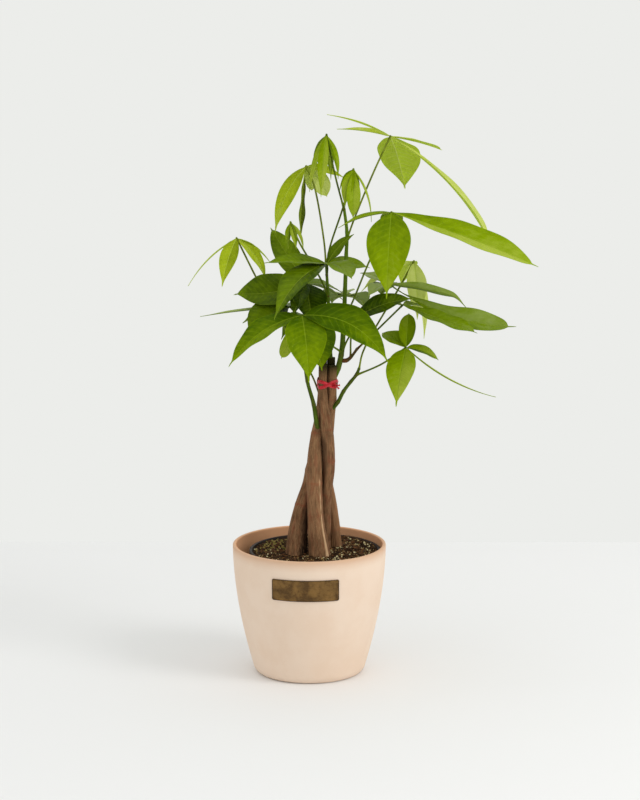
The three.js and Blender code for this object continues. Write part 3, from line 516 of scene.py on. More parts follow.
class Recipe:
    """Short ways to lay nodes in one tree."""

    def __init__(self, tree):
        self.tree = tree

    def node(self, kind, settings=None, **sockets):
        made = self.tree.nodes.new("ShaderNode" + kind)
        for key, value in (settings or {}).items():
            setattr(made, key, value)
        for key, value in sockets.items():
            self.put(made.inputs[key.replace("_", " ")], value)
        return made

    def put(self, socket, value):
        if isinstance(value, bpy.types.NodeSocket):
            self.tree.links.new(value, socket)
        else:
            socket.default_value = value

    def math(self, operation, *values):
        made = self.node("Math", {"operation": operation})
        for socket, value in zip(made.inputs, values):
            self.put(socket, value)
        return made.outputs[0]

    def plus(self, total, *others):
        for other in others:
            total = self.math("ADD", total, other)
        return total

    def times(self, a, b):
        return self.math("MULTIPLY", a, b)

    def blend(self, share, a, b):
        """Colour a where share is 0 or less, b where it is 1 or more. Sockets 6 and 7 are the node's two colours."""
        made = self.node("Mix", {"data_type": "RGBA", "clamp_factor": True})
        for socket, value in (("Factor", share), (6, a), (7, b)):
            self.put(made.inputs[socket], value)
        return made.outputs[2]

    def layers(self, colour, *coats):
        """The colour under coats, each a share and a colour."""
        for share, coat in coats:
            colour = self.blend(share, colour, coat)
        return colour

    def between(self, value, low, high, first=0.0, last=1.0, smooth=True):
        """value from low to high, as a share from first to last."""
        made = self.node(
            "MapRange", {"interpolation_type": "SMOOTHSTEP" if smooth else "LINEAR"},
            Value=value, From_Min=low, From_Max=high, To_Min=first, To_Max=last,
        )
        return made.outputs[0]

    def cloud(self, place, scale, detail=3.0, rough=0.55, warp=0.0):
        made = self.node("TexNoise", Vector=place, Scale=scale, Detail=detail, Roughness=rough, Distortion=warp)
        return made.outputs["Fac"]

    def cells(self, place, scale, feature="F1"):
        return self.node("TexVoronoi", {"feature": feature}, Vector=place, Scale=scale).outputs["Distance"]

    def stretch(self, place, scale):
        return self.node("Mapping", Vector=place, Scale=scale).outputs[0]

    def parts(self, place):
        return tuple(self.node("SeparateXYZ", Vector=place).outputs)

    def mark(self, name):
        return self.node("Attribute", {"attribute_name": name}).outputs["Vector"]

    def here(self):
        return self.node("TexCoord").outputs["Object"]

    def group(self, tree, **sockets):
        return self.node("Group", {"node_tree": tree}, **sockets).outputs


def new_group(name, inputs, outputs):
    """A node group with named sockets, its recipe, its inputs by name and a function that fills its outputs."""
    tree = bpy.data.node_groups.new(name, "ShaderNodeTree")
    kinds = {"colour": "NodeSocketColor", "value": "NodeSocketFloat", "vector": "NodeSocketVector"}
    for direction, sockets in (("INPUT", inputs), ("OUTPUT", outputs)):
        for socket, kind in sockets.items():
            tree.interface.new_socket(socket, in_out=direction, socket_type=kinds[kind])
    given = tree.nodes.new("NodeGroupInput")
    result = tree.nodes.new("NodeGroupOutput")
    recipe = Recipe(tree)

    def fill(**values):
        for key, value in values.items():
            recipe.put(result.inputs[key], value)

    return tree, recipe, given.outputs, fill


def new_material(name):
    """The recipe of an empty material, which is kept in FINISHES."""
    material = bpy.data.materials.new(name)
    material.use_nodes = True
    material.node_tree.nodes.clear()
    FINISHES[name] = material
    return Recipe(material.node_tree)


def finish_with(recipe, colour, roughness, height, strength, depth, **constants):
    """The Principled shader of a material, its bump and the material's output."""
    bump = recipe.node("Bump", Strength=strength, Distance=depth, Height=height)
    shader = recipe.node(
        "BsdfPrincipled", Base_Color=colour, Roughness=roughness, Normal=bump.outputs[0], **constants
    )
    recipe.node("OutputMaterial", Surface=shader.outputs[0])


def rgb(*srgb):
    """A colour given as it looks on screen, 0 to 255, in linear light."""
    return tuple(
        c / 12.92 if c <= 0.04045 else ((c + 0.055) / 1.055) ** 2.4 for c in (v / 255 for v in srgb)
    ) + (1.0,)


# Shared effects


def leaf_surface_group():
    """Leaf blade: midrib, side veins, cells between them, tone from leaflet to leaflet, which paints the light and
    shade on each, paler underside.
    """
    tree, n, given, fill = new_group(
        "leaf_surface",
        dict(Place="vector", Kind="vector", Deep="colour", Light="colour", Vein="colour", Under="colour",
             Tip="colour", Wash="colour", Gloss="value", Ripen="value", Streak="value"),
        dict(Colour="colour", Glow="colour", Roughness="value", Height="value"),
    )
    across, along, phase = n.parts(given["Place"])
    tone, edge, upper = n.parts(given["Kind"])

    # Where the veins are
    rib_width = n.between(along, 0.0, 1.0, 1.0, 0.3, smooth=False)
    midrib = n.between(n.math("DIVIDE", n.math("ABSOLUTE", across), rib_width), 0.35, 1.0, 1.0, 0.0)
    beat = n.math("ABSOLUTE", n.math("SUBTRACT", n.math("FRACT", phase), 0.5))
    side_vein = n.times(n.between(beat, 0.40, 0.5), n.between(edge, 0.55, 0.97, 1.0, 0.0))
    net = n.between(n.cells(n.here(), 1100.0, "DISTANCE_TO_EDGE"), 0.0, 0.12, 1.0, 0.0)
    patch = n.cloud(n.here(), 55.0, 4.0, 0.6)
    fine = n.cloud(n.here(), 420.0, 2.0)

    # How light the upper face is. Each leaflet's tone paints the light and shade on it: below 0 towards a painted
    # near-black shade, above 1 towards Wash, a painted pale sheen
    streak = n.cloud(n.stretch(given["Place"], (0.11, 1.0, 0.55)), 2.2, 3.0, 0.6)
    shade = n.plus(
        tone,
        n.between(patch, 0.3, 0.7, -0.22, 0.22, smooth=False),
        n.between(beat, 0.0, 0.5, -0.03, 0.03),
        n.times(n.between(streak, 0.3, 0.7, -1.0, 1.0, smooth=False), given["Streak"]),
        n.between(edge, 0.3, 1.0, 0.06, -0.12),
        # Darker at the root and lighter towards the tip: partly the leaflet's own colour, partly painted shade at
        # its root
        n.times(n.math("SUBTRACT", along, 0.45), given["Ripen"]),
    )
    upper_colour = n.layers(
        n.blend(shade, given["Deep"], given["Light"]),
        (n.between(shade, 0.0, -1.0, smooth=False), rgb(24, 32, 4)),
        (n.between(shade, 1.0, 2.0, smooth=False), given["Wash"]),
        (n.times(net, 0.08), given["Light"]),
        (n.between(along, 0.8, 1.0, 0.0, 0.45), given["Tip"]),
        (n.between(edge, 0.93, 1.0, 0.0, 0.35), given["Tip"]),
        (n.times(side_vein, 0.22), given["Vein"]),
        (n.times(midrib, 0.55), given["Vein"]),
    )
    under_colour = n.layers(
        given["Under"],
        (n.between(patch, 0.3, 0.7, 0.0, 0.16), given["Deep"]),
        (n.times(side_vein, 0.5), given["Wash"]),
        (n.times(midrib, 0.75), given["Wash"]),
        (n.times(net, 0.06), given["Deep"]),
    )
    colour = n.blend(upper, under_colour, upper_colour)
    rough = n.plus(n.times(given["Gloss"], -0.28), 0.66, n.times(fine, 0.16), n.times(upper, -0.12))
    sunk = n.times(n.plus(n.times(side_vein, 0.7), midrib), n.between(upper, 0.0, 1.0, 0.9, -1.0))
    fill(
        Colour=colour, Glow=n.blend(0.5, colour, given["Tip"]), Roughness=rough,
        Height=n.plus(sunk, n.times(fine, 0.1)),
    )
    return tree


def bark_group():
    """Bark along a stem: drawn-out ridges, dark pits, pale flecks, ring scars and a bare ridge line, pale with a
    painted highlight.
    """
    tree, n, given, fill = new_group(
        "stem_bark",
        dict(Place="vector", Age="vector", Shade="vector", Dark="colour", Pale="colour", Scar="colour",
             Young="colour", Bare="colour"),
        dict(Colour="colour", Roughness="value", Height="value"),
    )
    scar, youth_and_shade, wear_and_highlight = n.parts(given["Age"])
    shaded, lit, _ = n.parts(given["Shade"])

    def drawn(share):
        """Places drawn out along the stem, the more the smaller the share."""
        return n.stretch(given["Place"], (1.0, 1.0, share))

    ridge = n.cloud(drawn(0.09), 0.85, 6.0, 0.62, 0.5)
    hair = n.cloud(drawn(0.05), 3.2, 3.0, 0.7)
    blotch = n.cloud(drawn(0.4), 0.13, 4.0, 0.6)
    ruddy = n.cloud(drawn(0.3), 0.3, 3.0)
    streak = n.between(n.cloud(drawn(0.09), 1.6, 2.0), 0.50, 0.66)
    pits = n.between(n.cells(drawn(1.8), 0.55), 0.10, 0.2, 1.0, 0.0)
    flecks = n.between(n.cells(drawn(0.5), 0.9), 0.06, 0.16, 1.0, 0.0)
    tone = n.plus(n.times(ridge, 0.9), n.times(blotch, 0.6))
    colour = n.layers(
        n.blend(n.between(tone, 0.46, 1.04), given["Dark"], given["Pale"]),
        (n.between(ruddy, 0.48, 0.66, 0.0, 0.42), given["Scar"]),
        (n.between(hair, 0.35, 0.7, 0.4, 0.0), given["Dark"]),
        (n.times(pits, 0.6), given["Dark"]),
        (n.times(flecks, 0.45), given["Bare"]),
        (n.times(scar, 0.75), given["Scar"]),
        (lit, given["Pale"]),
        (shaded, rgb(30, 20, 12)),
        # Young tops: greener on the shoots, and on the braid's stems a dark olive that partly paints the shade under
        # the leaves
        (n.times(youth_and_shade, n.between(blotch, 0.2, 0.5, 0.75, 1.0)), given["Young"]),
        (n.times(n.times(n.between(wear_and_highlight, 0.0, 1.0, smooth=False), streak), 0.5), given["Pale"]),
        # The bare ridge line: pale colour that is partly a painted highlight on the side that faces the lamp
        (n.between(wear_and_highlight, 1.0, 2.0, 0.0, 0.85, smooth=False), given["Bare"]),
    )
    fill(
        Colour=colour, Roughness=n.between(ridge, 0.3, 0.7, 0.92, 0.74),
        Height=n.plus(ridge, n.times(hair, 0.35), n.times(pits, -0.3)),
    )
    return tree


def mottle_group():
    """Soft blotches with fine grain, for fired clay, plastic, grit, the tie and the floor."""
    tree, n, given, fill = new_group(
        "mottle",
        {
            "Base": "colour", "Blotch": "colour", "Speck": "colour", "Blotch Scale": "value",
            "Blotch Amount": "value", "Speck Scale": "value", "Speck Amount": "value", "Grain Scale": "value",
        },
        dict(Colour="colour", Mask="value", Height="value"),
    )
    place = n.here()
    blotch = n.between(n.cloud(place, given["Blotch Scale"], 4.0, 0.6), 0.35, 0.68)
    speck = n.between(n.cells(place, given["Speck Scale"]), 0.08, 0.22, 1.0, 0.0)
    grain = n.cloud(place, given["Grain Scale"], 3.0, 0.6)
    colour = n.layers(
        given["Base"],
        (n.times(blotch, given["Blotch Amount"]), given["Blotch"]),
        (n.times(speck, given["Speck Amount"]), given["Speck"]),
    )
    fill(Colour=colour, Mask=blotch, Height=n.plus(grain, n.times(speck, -0.4)))
    return tree


leaf_surface = leaf_surface_group()
stem_bark = bark_group()
mottle = mottle_group()


# Finishes


def leaf_finish(name, gloss, sheen, glow, root_shade_and_tip_light, streak, **colours):
    """gloss is how smooth a leaflet is, sheen how much it mirrors, glow how much light goes through,
    root_shade_and_tip_light how much lighter it grows towards its tip, partly its own colour and partly painted
    shade at its root, streak how streaky it is along its length. Of the colours, Wash is that of the lightest
    leaflets, where it paints a pale sheen and strong light."""
    n = new_material(name)
    leaf = n.group(
        leaf_surface, Place=n.mark("leaf_place"), Kind=n.mark("leaf_kind"), Gloss=gloss, Ripen=root_shade_and_tip_light, Streak=streak,
        **colours,
    )
    bump = n.node("Bump", Strength=0.4, Distance=0.0004, Height=leaf["Height"]).outputs[0]
    shader = n.node(
        "BsdfPrincipled", Base_Color=leaf["Colour"], Roughness=leaf["Roughness"], Specular_IOR_Level=sheen,
        Normal=bump,
    )
    through = n.node("BsdfTranslucent", Color=leaf["Glow"], Normal=bump)
    mixed = n.node("MixShader", Fac=glow)
    n.put(mixed.inputs[1], shader.outputs[0])
    n.put(mixed.inputs[2], through.outputs[0])
    n.node("OutputMaterial", Surface=mixed.outputs[0])


def stalk_finish(name, dark, pale):
    """Green stalks: faint lines along them, small pale dots and a woody foot."""
    n = new_material(name)
    lines = n.cloud(n.stretch(n.mark("leaf_place"), (1.0, 1.0, 0.06)), 1.8, 3.0, 0.6)
    blotch = n.cloud(n.here(), 60.0, 3.0)
    dots = n.between(n.cells(n.here(), 900.0), 0.1, 0.2, 1.0, 0.0)
    woody, _, _ = n.parts(n.mark("leaf_kind"))
    colour = n.layers(
        n.blend(n.between(n.plus(lines, blotch), 0.75, 1.25), dark, pale),
        (n.times(dots, 0.25), pale),
        (woody, n.blend(lines, rgb(52, 30, 18), rgb(104, 66, 42))),
    )
    rough = n.between(lines, 0.3, 0.7, 0.65, 0.5)
    height = n.plus(lines, n.times(dots, 0.3))
    finish_with(n, colour, rough, height, 0.3, 0.0003, Specular_IOR_Level=0.08)


def bark_finish(name, **colours):
    n = new_material(name)
    bark = n.group(
        stem_bark, Place=n.mark("stem_place"), Age=n.mark("stem_age"), Shade=n.mark("stem_shade"), **colours
    )
    finish_with(n, bark["Colour"], bark["Roughness"], bark["Height"], 0.55, 0.0008, Specular_IOR_Level=0.12)


def mottled(recipe, base, blotch, speck, scales, amounts):
    """The mottle group in a material. scales: blotch, speck and grain, per metre. amounts: blotch and speck."""
    return recipe.group(
        mottle, Base=base, Blotch=blotch, Speck=speck, Blotch_Scale=scales[0], Speck_Scale=scales[1],
        Grain_Scale=scales[2], Blotch_Amount=amounts[0], Speck_Amount=amounts[1],
    )


def mottled_finish(name, base, blotch, speck, scales, amounts, rough, strength, depth, **constants):
    """rough: least and most. strength and depth are those of the bump."""
    n = new_material(name)
    surface = mottled(n, base, blotch, speck, scales, amounts)
    roughness = n.between(surface["Mask"], 0.0, 1.0, *rough)
    finish_with(n, surface["Colour"], roughness, surface["Height"], strength, depth, **constants)


def bronze_finish(name):
    """Aged bronze plate: brushed lengthwise, darker in its hollows and round its edge."""
    n = new_material(name)
    brushed = n.cloud(n.stretch(n.here(), (0.06, 1.0, 1.0)), 2400.0, 3.0, 0.6)
    stain = n.cloud(n.here(), 95.0, 5.0, 0.65)
    rim, _, _ = n.parts(n.mark("plate_rim"))
    colour = n.layers(
        rgb(82, 58, 29),
        (n.between(stain, 0.35, 0.7), rgb(132, 99, 53)),
        (n.between(brushed, 0.4, 0.7, 0.0, 0.3), rgb(142, 112, 68)),
        (n.times(rim, 0.75), rgb(46, 32, 18)),
    )
    rough = n.between(stain, 0.3, 0.7, 0.52, 0.38)
    finish_with(n, colour, rough, n.plus(brushed, stain), 0.25, 0.0002, Metallic=0.75)


def planter_finish(name):
    """Matt painted clay: soft blotches and fine grain, a warmer rim and a browner inside, which is painted shade and
    warm light bounced between the pot's walls.
    """
    n = new_material(name)
    surface = mottled(
        n, rgb(235, 213, 193), rgb(228, 201, 177), rgb(214, 184, 158), (22.0, 340.0, 1500.0), (0.5, 0.1)
    )
    inside, rim, _ = n.parts(n.mark("planter_inside"))
    colour = n.layers(
        surface["Colour"],
        (n.times(rim, 0.9), rgb(212, 172, 140)),
        # Browner inside: painted shade and warm bounced light within the pot
        (n.between(inside, 0.3, 1.0), rgb(224, 168, 126)),
    )
    roughness = n.between(surface["Mask"], 0.0, 1.0, 0.7, 0.82)
    finish_with(n, colour, roughness, surface["Height"], 0.12, 0.0003, Specular_IOR_Level=0.3)


leaf_finish(
    "leaf_mature", gloss=0.9, sheen=0.07, glow=0.14, root_shade_and_tip_light=0.25, streak=0.14,
    Deep=rgb(44, 68, 0), Light=rgb(120, 146, 2), Vein=rgb(146, 166, 50), Under=rgb(110, 132, 40),
    Tip=rgb(116, 142, 10), Wash=rgb(162, 178, 100),
)
leaf_finish(
    "leaf_fresh", gloss=0.7, sheen=0.04, glow=0.3, root_shade_and_tip_light=0.9, streak=0.16,
    Deep=rgb(72, 102, 0), Light=rgb(144, 170, 0), Vein=rgb(160, 186, 44), Under=rgb(140, 164, 40),
    Tip=rgb(156, 184, 4), Wash=rgb(188, 204, 72),
)
leaf_finish(
    "leaf_young", gloss=0.6, sheen=0.04, glow=0.34, root_shade_and_tip_light=0.5, streak=0.16,
    Deep=rgb(112, 130, 2), Light=rgb(180, 196, 38), Vein=rgb(196, 212, 90), Under=rgb(206, 228, 74),
    Tip=rgb(200, 214, 50), Wash=rgb(220, 228, 134),
)
stalk_finish("stalk_mature", rgb(52, 68, 6), rgb(98, 116, 26))
stalk_finish("stalk_fresh", rgb(66, 84, 6), rgb(114, 132, 28))
stalk_finish("stalk_young", rgb(84, 96, 12), rgb(136, 150, 44))
bark_finish(
    "bark", Dark=rgb(78, 53, 34), Pale=rgb(168, 127, 90), Scar=rgb(134, 66, 44), Young=rgb(50, 46, 18),
    Bare=rgb(214, 178, 138),
)
bark_finish(
    "green_stem", Dark=rgb(52, 70, 12), Pale=rgb(100, 122, 32), Scar=rgb(88, 78, 34), Young=rgb(96, 124, 26),
    Bare=rgb(120, 130, 60),
)
bark_finish(
    "brown_stem", Dark=rgb(44, 44, 16), Pale=rgb(84, 86, 34), Scar=rgb(120, 58, 40), Young=rgb(74, 84, 28),
    Bare=rgb(120, 110, 60),
)
planter_finish("planter_ceramic")
bronze_finish("bronze_metal")
mottled_finish(
    "black_plastic", rgb(28, 24, 21), rgb(58, 44, 33), rgb(96, 76, 56), scales=(60.0, 420.0, 1800.0),
    amounts=(0.7, 0.5), rough=(0.5, 0.7), strength=0.2, depth=0.0003, Specular_IOR_Level=0.2,
)
mottled_finish(
    "potting_mix", rgb(42, 28, 14), rgb(80, 54, 28), rgb(116, 88, 48), scales=(260.0, 900.0, 1300.0),
    amounts=(0.8, 0.6), rough=(0.9, 1.0), strength=0.9, depth=0.0015, Specular_IOR_Level=0.15,
)
mottled_finish(
    "bark_bits", rgb(66, 42, 24), rgb(112, 74, 42), rgb(36, 24, 14), scales=(120.0, 1100.0, 1800.0),
    amounts=(0.9, 0.5), rough=(0.8, 0.95), strength=0.5, depth=0.0006, Specular_IOR_Level=0.2,
)
mottled_finish(
    "tan_bits", rgb(176, 146, 92), rgb(120, 92, 54), rgb(216, 196, 150), scales=(140.0, 900.0, 1800.0),
    amounts=(0.8, 0.4), rough=(0.75, 0.9), strength=0.4, depth=0.0005, Specular_IOR_Level=0.25,
)
mottled_finish(
    "perlite", rgb(214, 202, 158), rgb(182, 164, 112), rgb(140, 120, 76), scales=(160.0, 800.0, 1600.0),
    amounts=(0.6, 0.5), rough=(0.8, 0.95), strength=0.6, depth=0.0005, Specular_IOR_Level=0.3,
)
mottled_finish(
    "moss", rgb(132, 120, 56), rgb(186, 166, 106), rgb(80, 76, 30), scales=(200.0, 1300.0, 2200.0),
    amounts=(0.8, 0.5), rough=(0.85, 1.0), strength=0.7, depth=0.0008, Specular_IOR_Level=0.15,
)
mottled_finish(
    "red_tie", rgb(206, 14, 38), rgb(146, 4, 22), rgb(240, 80, 96), scales=(190.0, 900.0, 2600.0),
    amounts=(0.5, 0.25), rough=(0.36, 0.5), strength=0.35, depth=0.0003,
)
mottled_finish(
    "floor_paint", rgb(237, 237, 238), rgb(235, 235, 235), rgb(237, 237, 238), scales=(1.5, 3.0, 300.0),
    amounts=(0.5, 0.0), rough=(0.6, 0.75), strength=0.02, depth=0.0005,
)


# Pots


def planter_radius(z):
    return PLANTER_RADIUS - PLANTER_TAPER * (1 - z / PLANTER_HEIGHT) ** PLANTER_CURVE


def planter():
    """Round tapered planter, matt outside, with a rounded rim and a recessed foot."""
    foot = planter_radius(0)
    inner = PLANTER_RADIUS - PLANTER_WALL
    outside = [(planter_radius(z), z) for z in np.linspace(5, PLANTER_HEIGHT - LIP, 40)]
    inside = [(planter_radius(z) - PLANTER_WALL, z) for z in np.linspace(PLANTER_HEIGHT - LIP, 16, 36)]
    profile = [(0, FOOT_RECESS), (foot - 12, FOOT_RECESS), (foot - 10, 0), (foot - 2.2, 0), *outside]
    profile += [(PLANTER_RADIUS, PLANTER_HEIGHT), (inner, PLANTER_HEIGHT), *inside]
    floor_edge = planter_radius(PLANTER_FLOOR) - PLANTER_WALL
    profile += [(floor_edge, PLANTER_FLOOR), (0, PLANTER_FLOOR)]
    lip = 4 + len(outside)
    profile = rounded(profile, {3: 3.0, lip: 1.6, lip + 1: 1.5, len(profile) - 2: 4.0}, 6)
    points, faces = lathe(profile, 192)
    depths = []
    for x, y, z in points:
        outer = planter_radius(min(z, PLANTER_HEIGHT))
        share = ramp(math.hypot(x, y), outer, outer - PLANTER_WALL) if z > PLANTER_FLOOR - 1 else 0
        depths.append((share, ramp(z, *RIM_BLUSH) ** 1.5, 0))
    new_piece(
        "planter_shell", points, faces, ["planter_ceramic"], ["planter"],
        marks={"planter_inside": depths}, crease=60,
    )


def name_plate():
    """A thin plate bent round the planter, pillowed a little, with a rounded outline and a soft edge."""
    columns, rows = 96, 30
    half_width, half_height = PLATE_WIDTH / 2, PLATE_HEIGHT / 2
    centre_x, centre_z = PLATE_CENTRE
    points, rims = [], []
    for layer in (1, 0):
        for j in range(rows + 1):
            for i in range(columns + 1):
                x, z = (
                    half * math.sin((2 * k / count - 1) * math.pi / 2)
                    for half, k, count in ((half_width, i, columns), (half_height, j, rows))
                )
                over_x = max(abs(x) - (half_width - PLATE_CORNER), 0)
                over_z = max(abs(z) - (half_height - PLATE_CORNER), 0)
                far = math.hypot(over_x, over_z)
                if far > PLATE_CORNER:
                    x -= math.copysign(over_x * (1 - PLATE_CORNER / far), x)
                    z -= math.copysign(over_z * (1 - PLATE_CORNER / far), z)
                    far = PLATE_CORNER
                inset = min(half_width - abs(x), half_height - abs(z))
                if over_x and over_z:
                    inset = min(inset, PLATE_CORNER - far)
                drop = PLATE_BEVEL * ramp(inset, PLATE_BEVEL_WIDTH, 0) ** 2
                dent = PLATE_DENT * noise.noise(Vector((x * 0.11, z * 0.11, 3.0)))
                radius = planter_radius(centre_z + z) + PLATE_GAP + layer * (PLATE_THICKNESS - drop + dent)
                across = centre_x + x
                points.append((across, -math.sqrt(radius**2 - across**2), centre_z + z))
                rims.append((ramp(inset, PLATE_RIM_WIDTH, 0) * layer, 0, 0))
    new_piece(
        "plate", points, two_skins(rows, columns), ["bronze_metal"], ["name_plate"],
        marks={"plate_rim": rims}, crease=70,
    )


def nursery_radius(z):
    share = (z - PLANTER_FLOOR) / (NURSERY_TOP - PLANTER_FLOOR)
    return NURSERY_FOOT_RADIUS + share * (NURSERY_WALL_RADIUS - NURSERY_FOOT_RADIUS)


def nursery_pot():
    """Thin black pot with a rolled rim."""
    foot = PLANTER_FLOOR + NURSERY_GAP
    band = NURSERY_TOP - NURSERY_RIM_HEIGHT
    walls = [(nursery_radius(z), z) for z in np.linspace(foot + 3, band, 12)]
    inside = [(nursery_radius(z) - NURSERY_WALL, z) for z in np.linspace(NURSERY_TOP, foot + 2, 14)]
    profile = [(0, foot), (nursery_radius(foot), foot), *walls, (NURSERY_RIM_RADIUS, band)]
    profile += [(NURSERY_RIM_RADIUS, NURSERY_TOP), *inside, (0, foot + NURSERY_BASE)]
    top = 3 + len(walls)
    profile = rounded(profile, {1: 2.0, top - 1: 0.5, top: 0.8, top + 1: 0.5}, 4)
    points, faces = lathe(profile, 128, NURSERY_SHIFT)
    new_piece("nursery_pot_shell", points, faces, ["black_plastic"], ["nursery_pot"], crease=50)


# Soil


def moss_share(x, y, spread):
    """1 in the middle of the mossy mound, falling off over spread."""
    return math.exp(-((x - MOSS["x"]) ** 2 + (y - MOSS["y"]) ** 2) / spread**2)


def soil_height(x, y):
    """Surface of the soil, as in the part's source, with finer crumbs on it and a bank at the pot's right wall."""
    mound = SOIL_MOUND * (1 - ((x - NURSERY_SHIFT) ** 2 + y * y) / SOIL_RADIUS**2)
    moss = MOSS["rise"] * moss_share(x, y, MOSS["spread"])
    lumps = 0.5 * math.sin(0.21 * x + 1.3) * math.cos(0.27 * y) + 0.4 * math.sin(0.43 * y - 0.31 * x)
    crumbs = 0.9 * noise.noise(Vector((x * 0.16, y * 0.16, 0)))
    crumbs += 0.7 * noise.noise(Vector((x * 0.5, y * 0.5, 9)))
    bank = SOIL_BANK * ramp(math.hypot(x - NURSERY_SHIFT, y), 56, 66) ** 2 * ramp(x, -10, 20)
    return SOIL_LEVEL + mound + lumps + moss + crumbs + bank


def soil_bed():
    """The bed of soil in rings, from the middle of its surface out, down the pot's wall and to the pot's floor."""
    rings, sides = 60, 180
    points = []
    for i in range(rings + 1):
        surface = ring(max(SOIL_RADIUS * i / rings, 0.01), sides, NURSERY_SHIFT)
        points += [(x, y, soil_height(x, y)) for x, y in surface]
    for level in SOIL_LOWER_LEVELS:
        points += [(x, y, level) for x, y in ring(nursery_radius(level) - SOIL_GAP, sides, NURSERY_SHIFT)]
    faces = [(face[0], *face[:0:-1]) for face in tube_faces(rings + 1 + len(SOIL_LOWER_LEVELS), sides)]
    new_piece("soil_bed", points, faces, ["potting_mix"], ["soil"], crease=80)


def blob(detail):
    """Corners and faces of a ball of triangles."""
    t = (1 + 5**0.5) / 2
    corners = [(-1, t, 0), (1, t, 0), (-1, -t, 0), (1, -t, 0), (0, -1, t), (0, 1, t), (0, -1, -t), (0, 1, -t),
               (t, 0, -1), (t, 0, 1), (-t, 0, -1), (-t, 0, 1)]
    faces = [(0, 11, 5), (0, 5, 1), (0, 1, 7), (0, 7, 10), (0, 10, 11), (1, 5, 9), (5, 11, 4), (11, 10, 2),
             (10, 7, 6), (7, 1, 8), (3, 9, 4), (3, 4, 2), (3, 2, 6), (3, 6, 8), (3, 8, 9), (4, 9, 5), (2, 4, 11),
             (6, 2, 10), (8, 6, 7), (9, 8, 1)]
    corners = [tuple(c) for c in unit(np.array(corners, float))]
    for _ in range(detail):
        middles, split = {}, []
        for a, b, c in faces:
            mids = []
            for p, q in ((a, b), (b, c), (c, a)):
                key = (min(p, q), max(p, q))
                if key not in middles:
                    middles[key] = len(corners)
                    corners.append(tuple(unit(np.array(corners[p]) + np.array(corners[q]))))
                mids.append(middles[key])
            split += [(a, mids[0], mids[2]), (b, mids[1], mids[0]), (c, mids[2], mids[1]), tuple(mids)]
        faces = split
    return np.array(corners), faces


ROUGH_BALL = blob(1)
PLAIN_BALL = blob(0)


def turned(rng):
    """A random turn as a matrix of rows."""
    a, b = unit(rng.normal(size=3)), unit(rng.normal(size=3))
    c = unit(np.cross(a, b))
    return np.array((a, c, np.cross(a, c)))


def leaning(rng):
    """A turn that leaves a flat crumb lying, leaning a little."""
    spin, tilt = rng.uniform(0, TURN), rng.normal() * 0.35
    c, s = math.cos(spin), math.sin(spin)
    ct, st = math.cos(tilt), math.sin(tilt)
    return np.array(((c, s, 0), (-s * ct, c * ct, st), (s * st, -c * st, ct)))


def clear_of_stems(x, y):
    """True where no stem of the braid stands in the soil. A crumb may reach a millimetre into one."""
    return all(math.hypot(x - foot[0], y - foot[1]) >= foot[3] - 1 for _, foot, *_ in TRUNKS.values())


def on_moss(x, y, rng):
    return rng.random() < moss_share(x, y, 1.5 * MOSS["spread"])


def right_side(x, y, rng):
    return rng.random() < 0.35 + 0.65 * (x > 5) * (0.4 + 0.6 * (y < 20))


def scattered(name, finish, number, sizes, thin, long, seed, where=None, ball=ROUGH_BALL):
    """Crumbs of one kind strewn over the soil. thin and long: height and length of a crumb beside its width."""
    rng = np.random.default_rng(seed)
    heap = Heap()
    corners, faces = ball
    made = 0
    while made < number:
        angle, reach = rng.uniform(0, TURN), (SOIL_RADIUS - 1.5) * math.sqrt(rng.uniform(0, 1))
        x, y = NURSERY_SHIFT + reach * math.cos(angle), reach * math.sin(angle)
        size = rng.uniform(*sizes) * (0.7 + 0.6 * rng.random())
        if not clear_of_stems(x, y) or (where and not where(x, y, rng)):
            continue
        rough = 1 + 0.28 * rng.normal(size=(len(corners), 1)).clip(-1.5, 1.5)
        shape = corners * rough * np.array((1.0, long, thin)) * size / 2
        lean = turned(rng) if thin > 0.6 else leaning(rng)
        spot = np.array((x, y, soil_height(x, y) + size * thin * 0.3))
        heap.add(shape @ lean + spot, faces)
        made += 1
    heap.piece(name, [finish], slot="potting_mix", crease=35)


# Braid and young stems


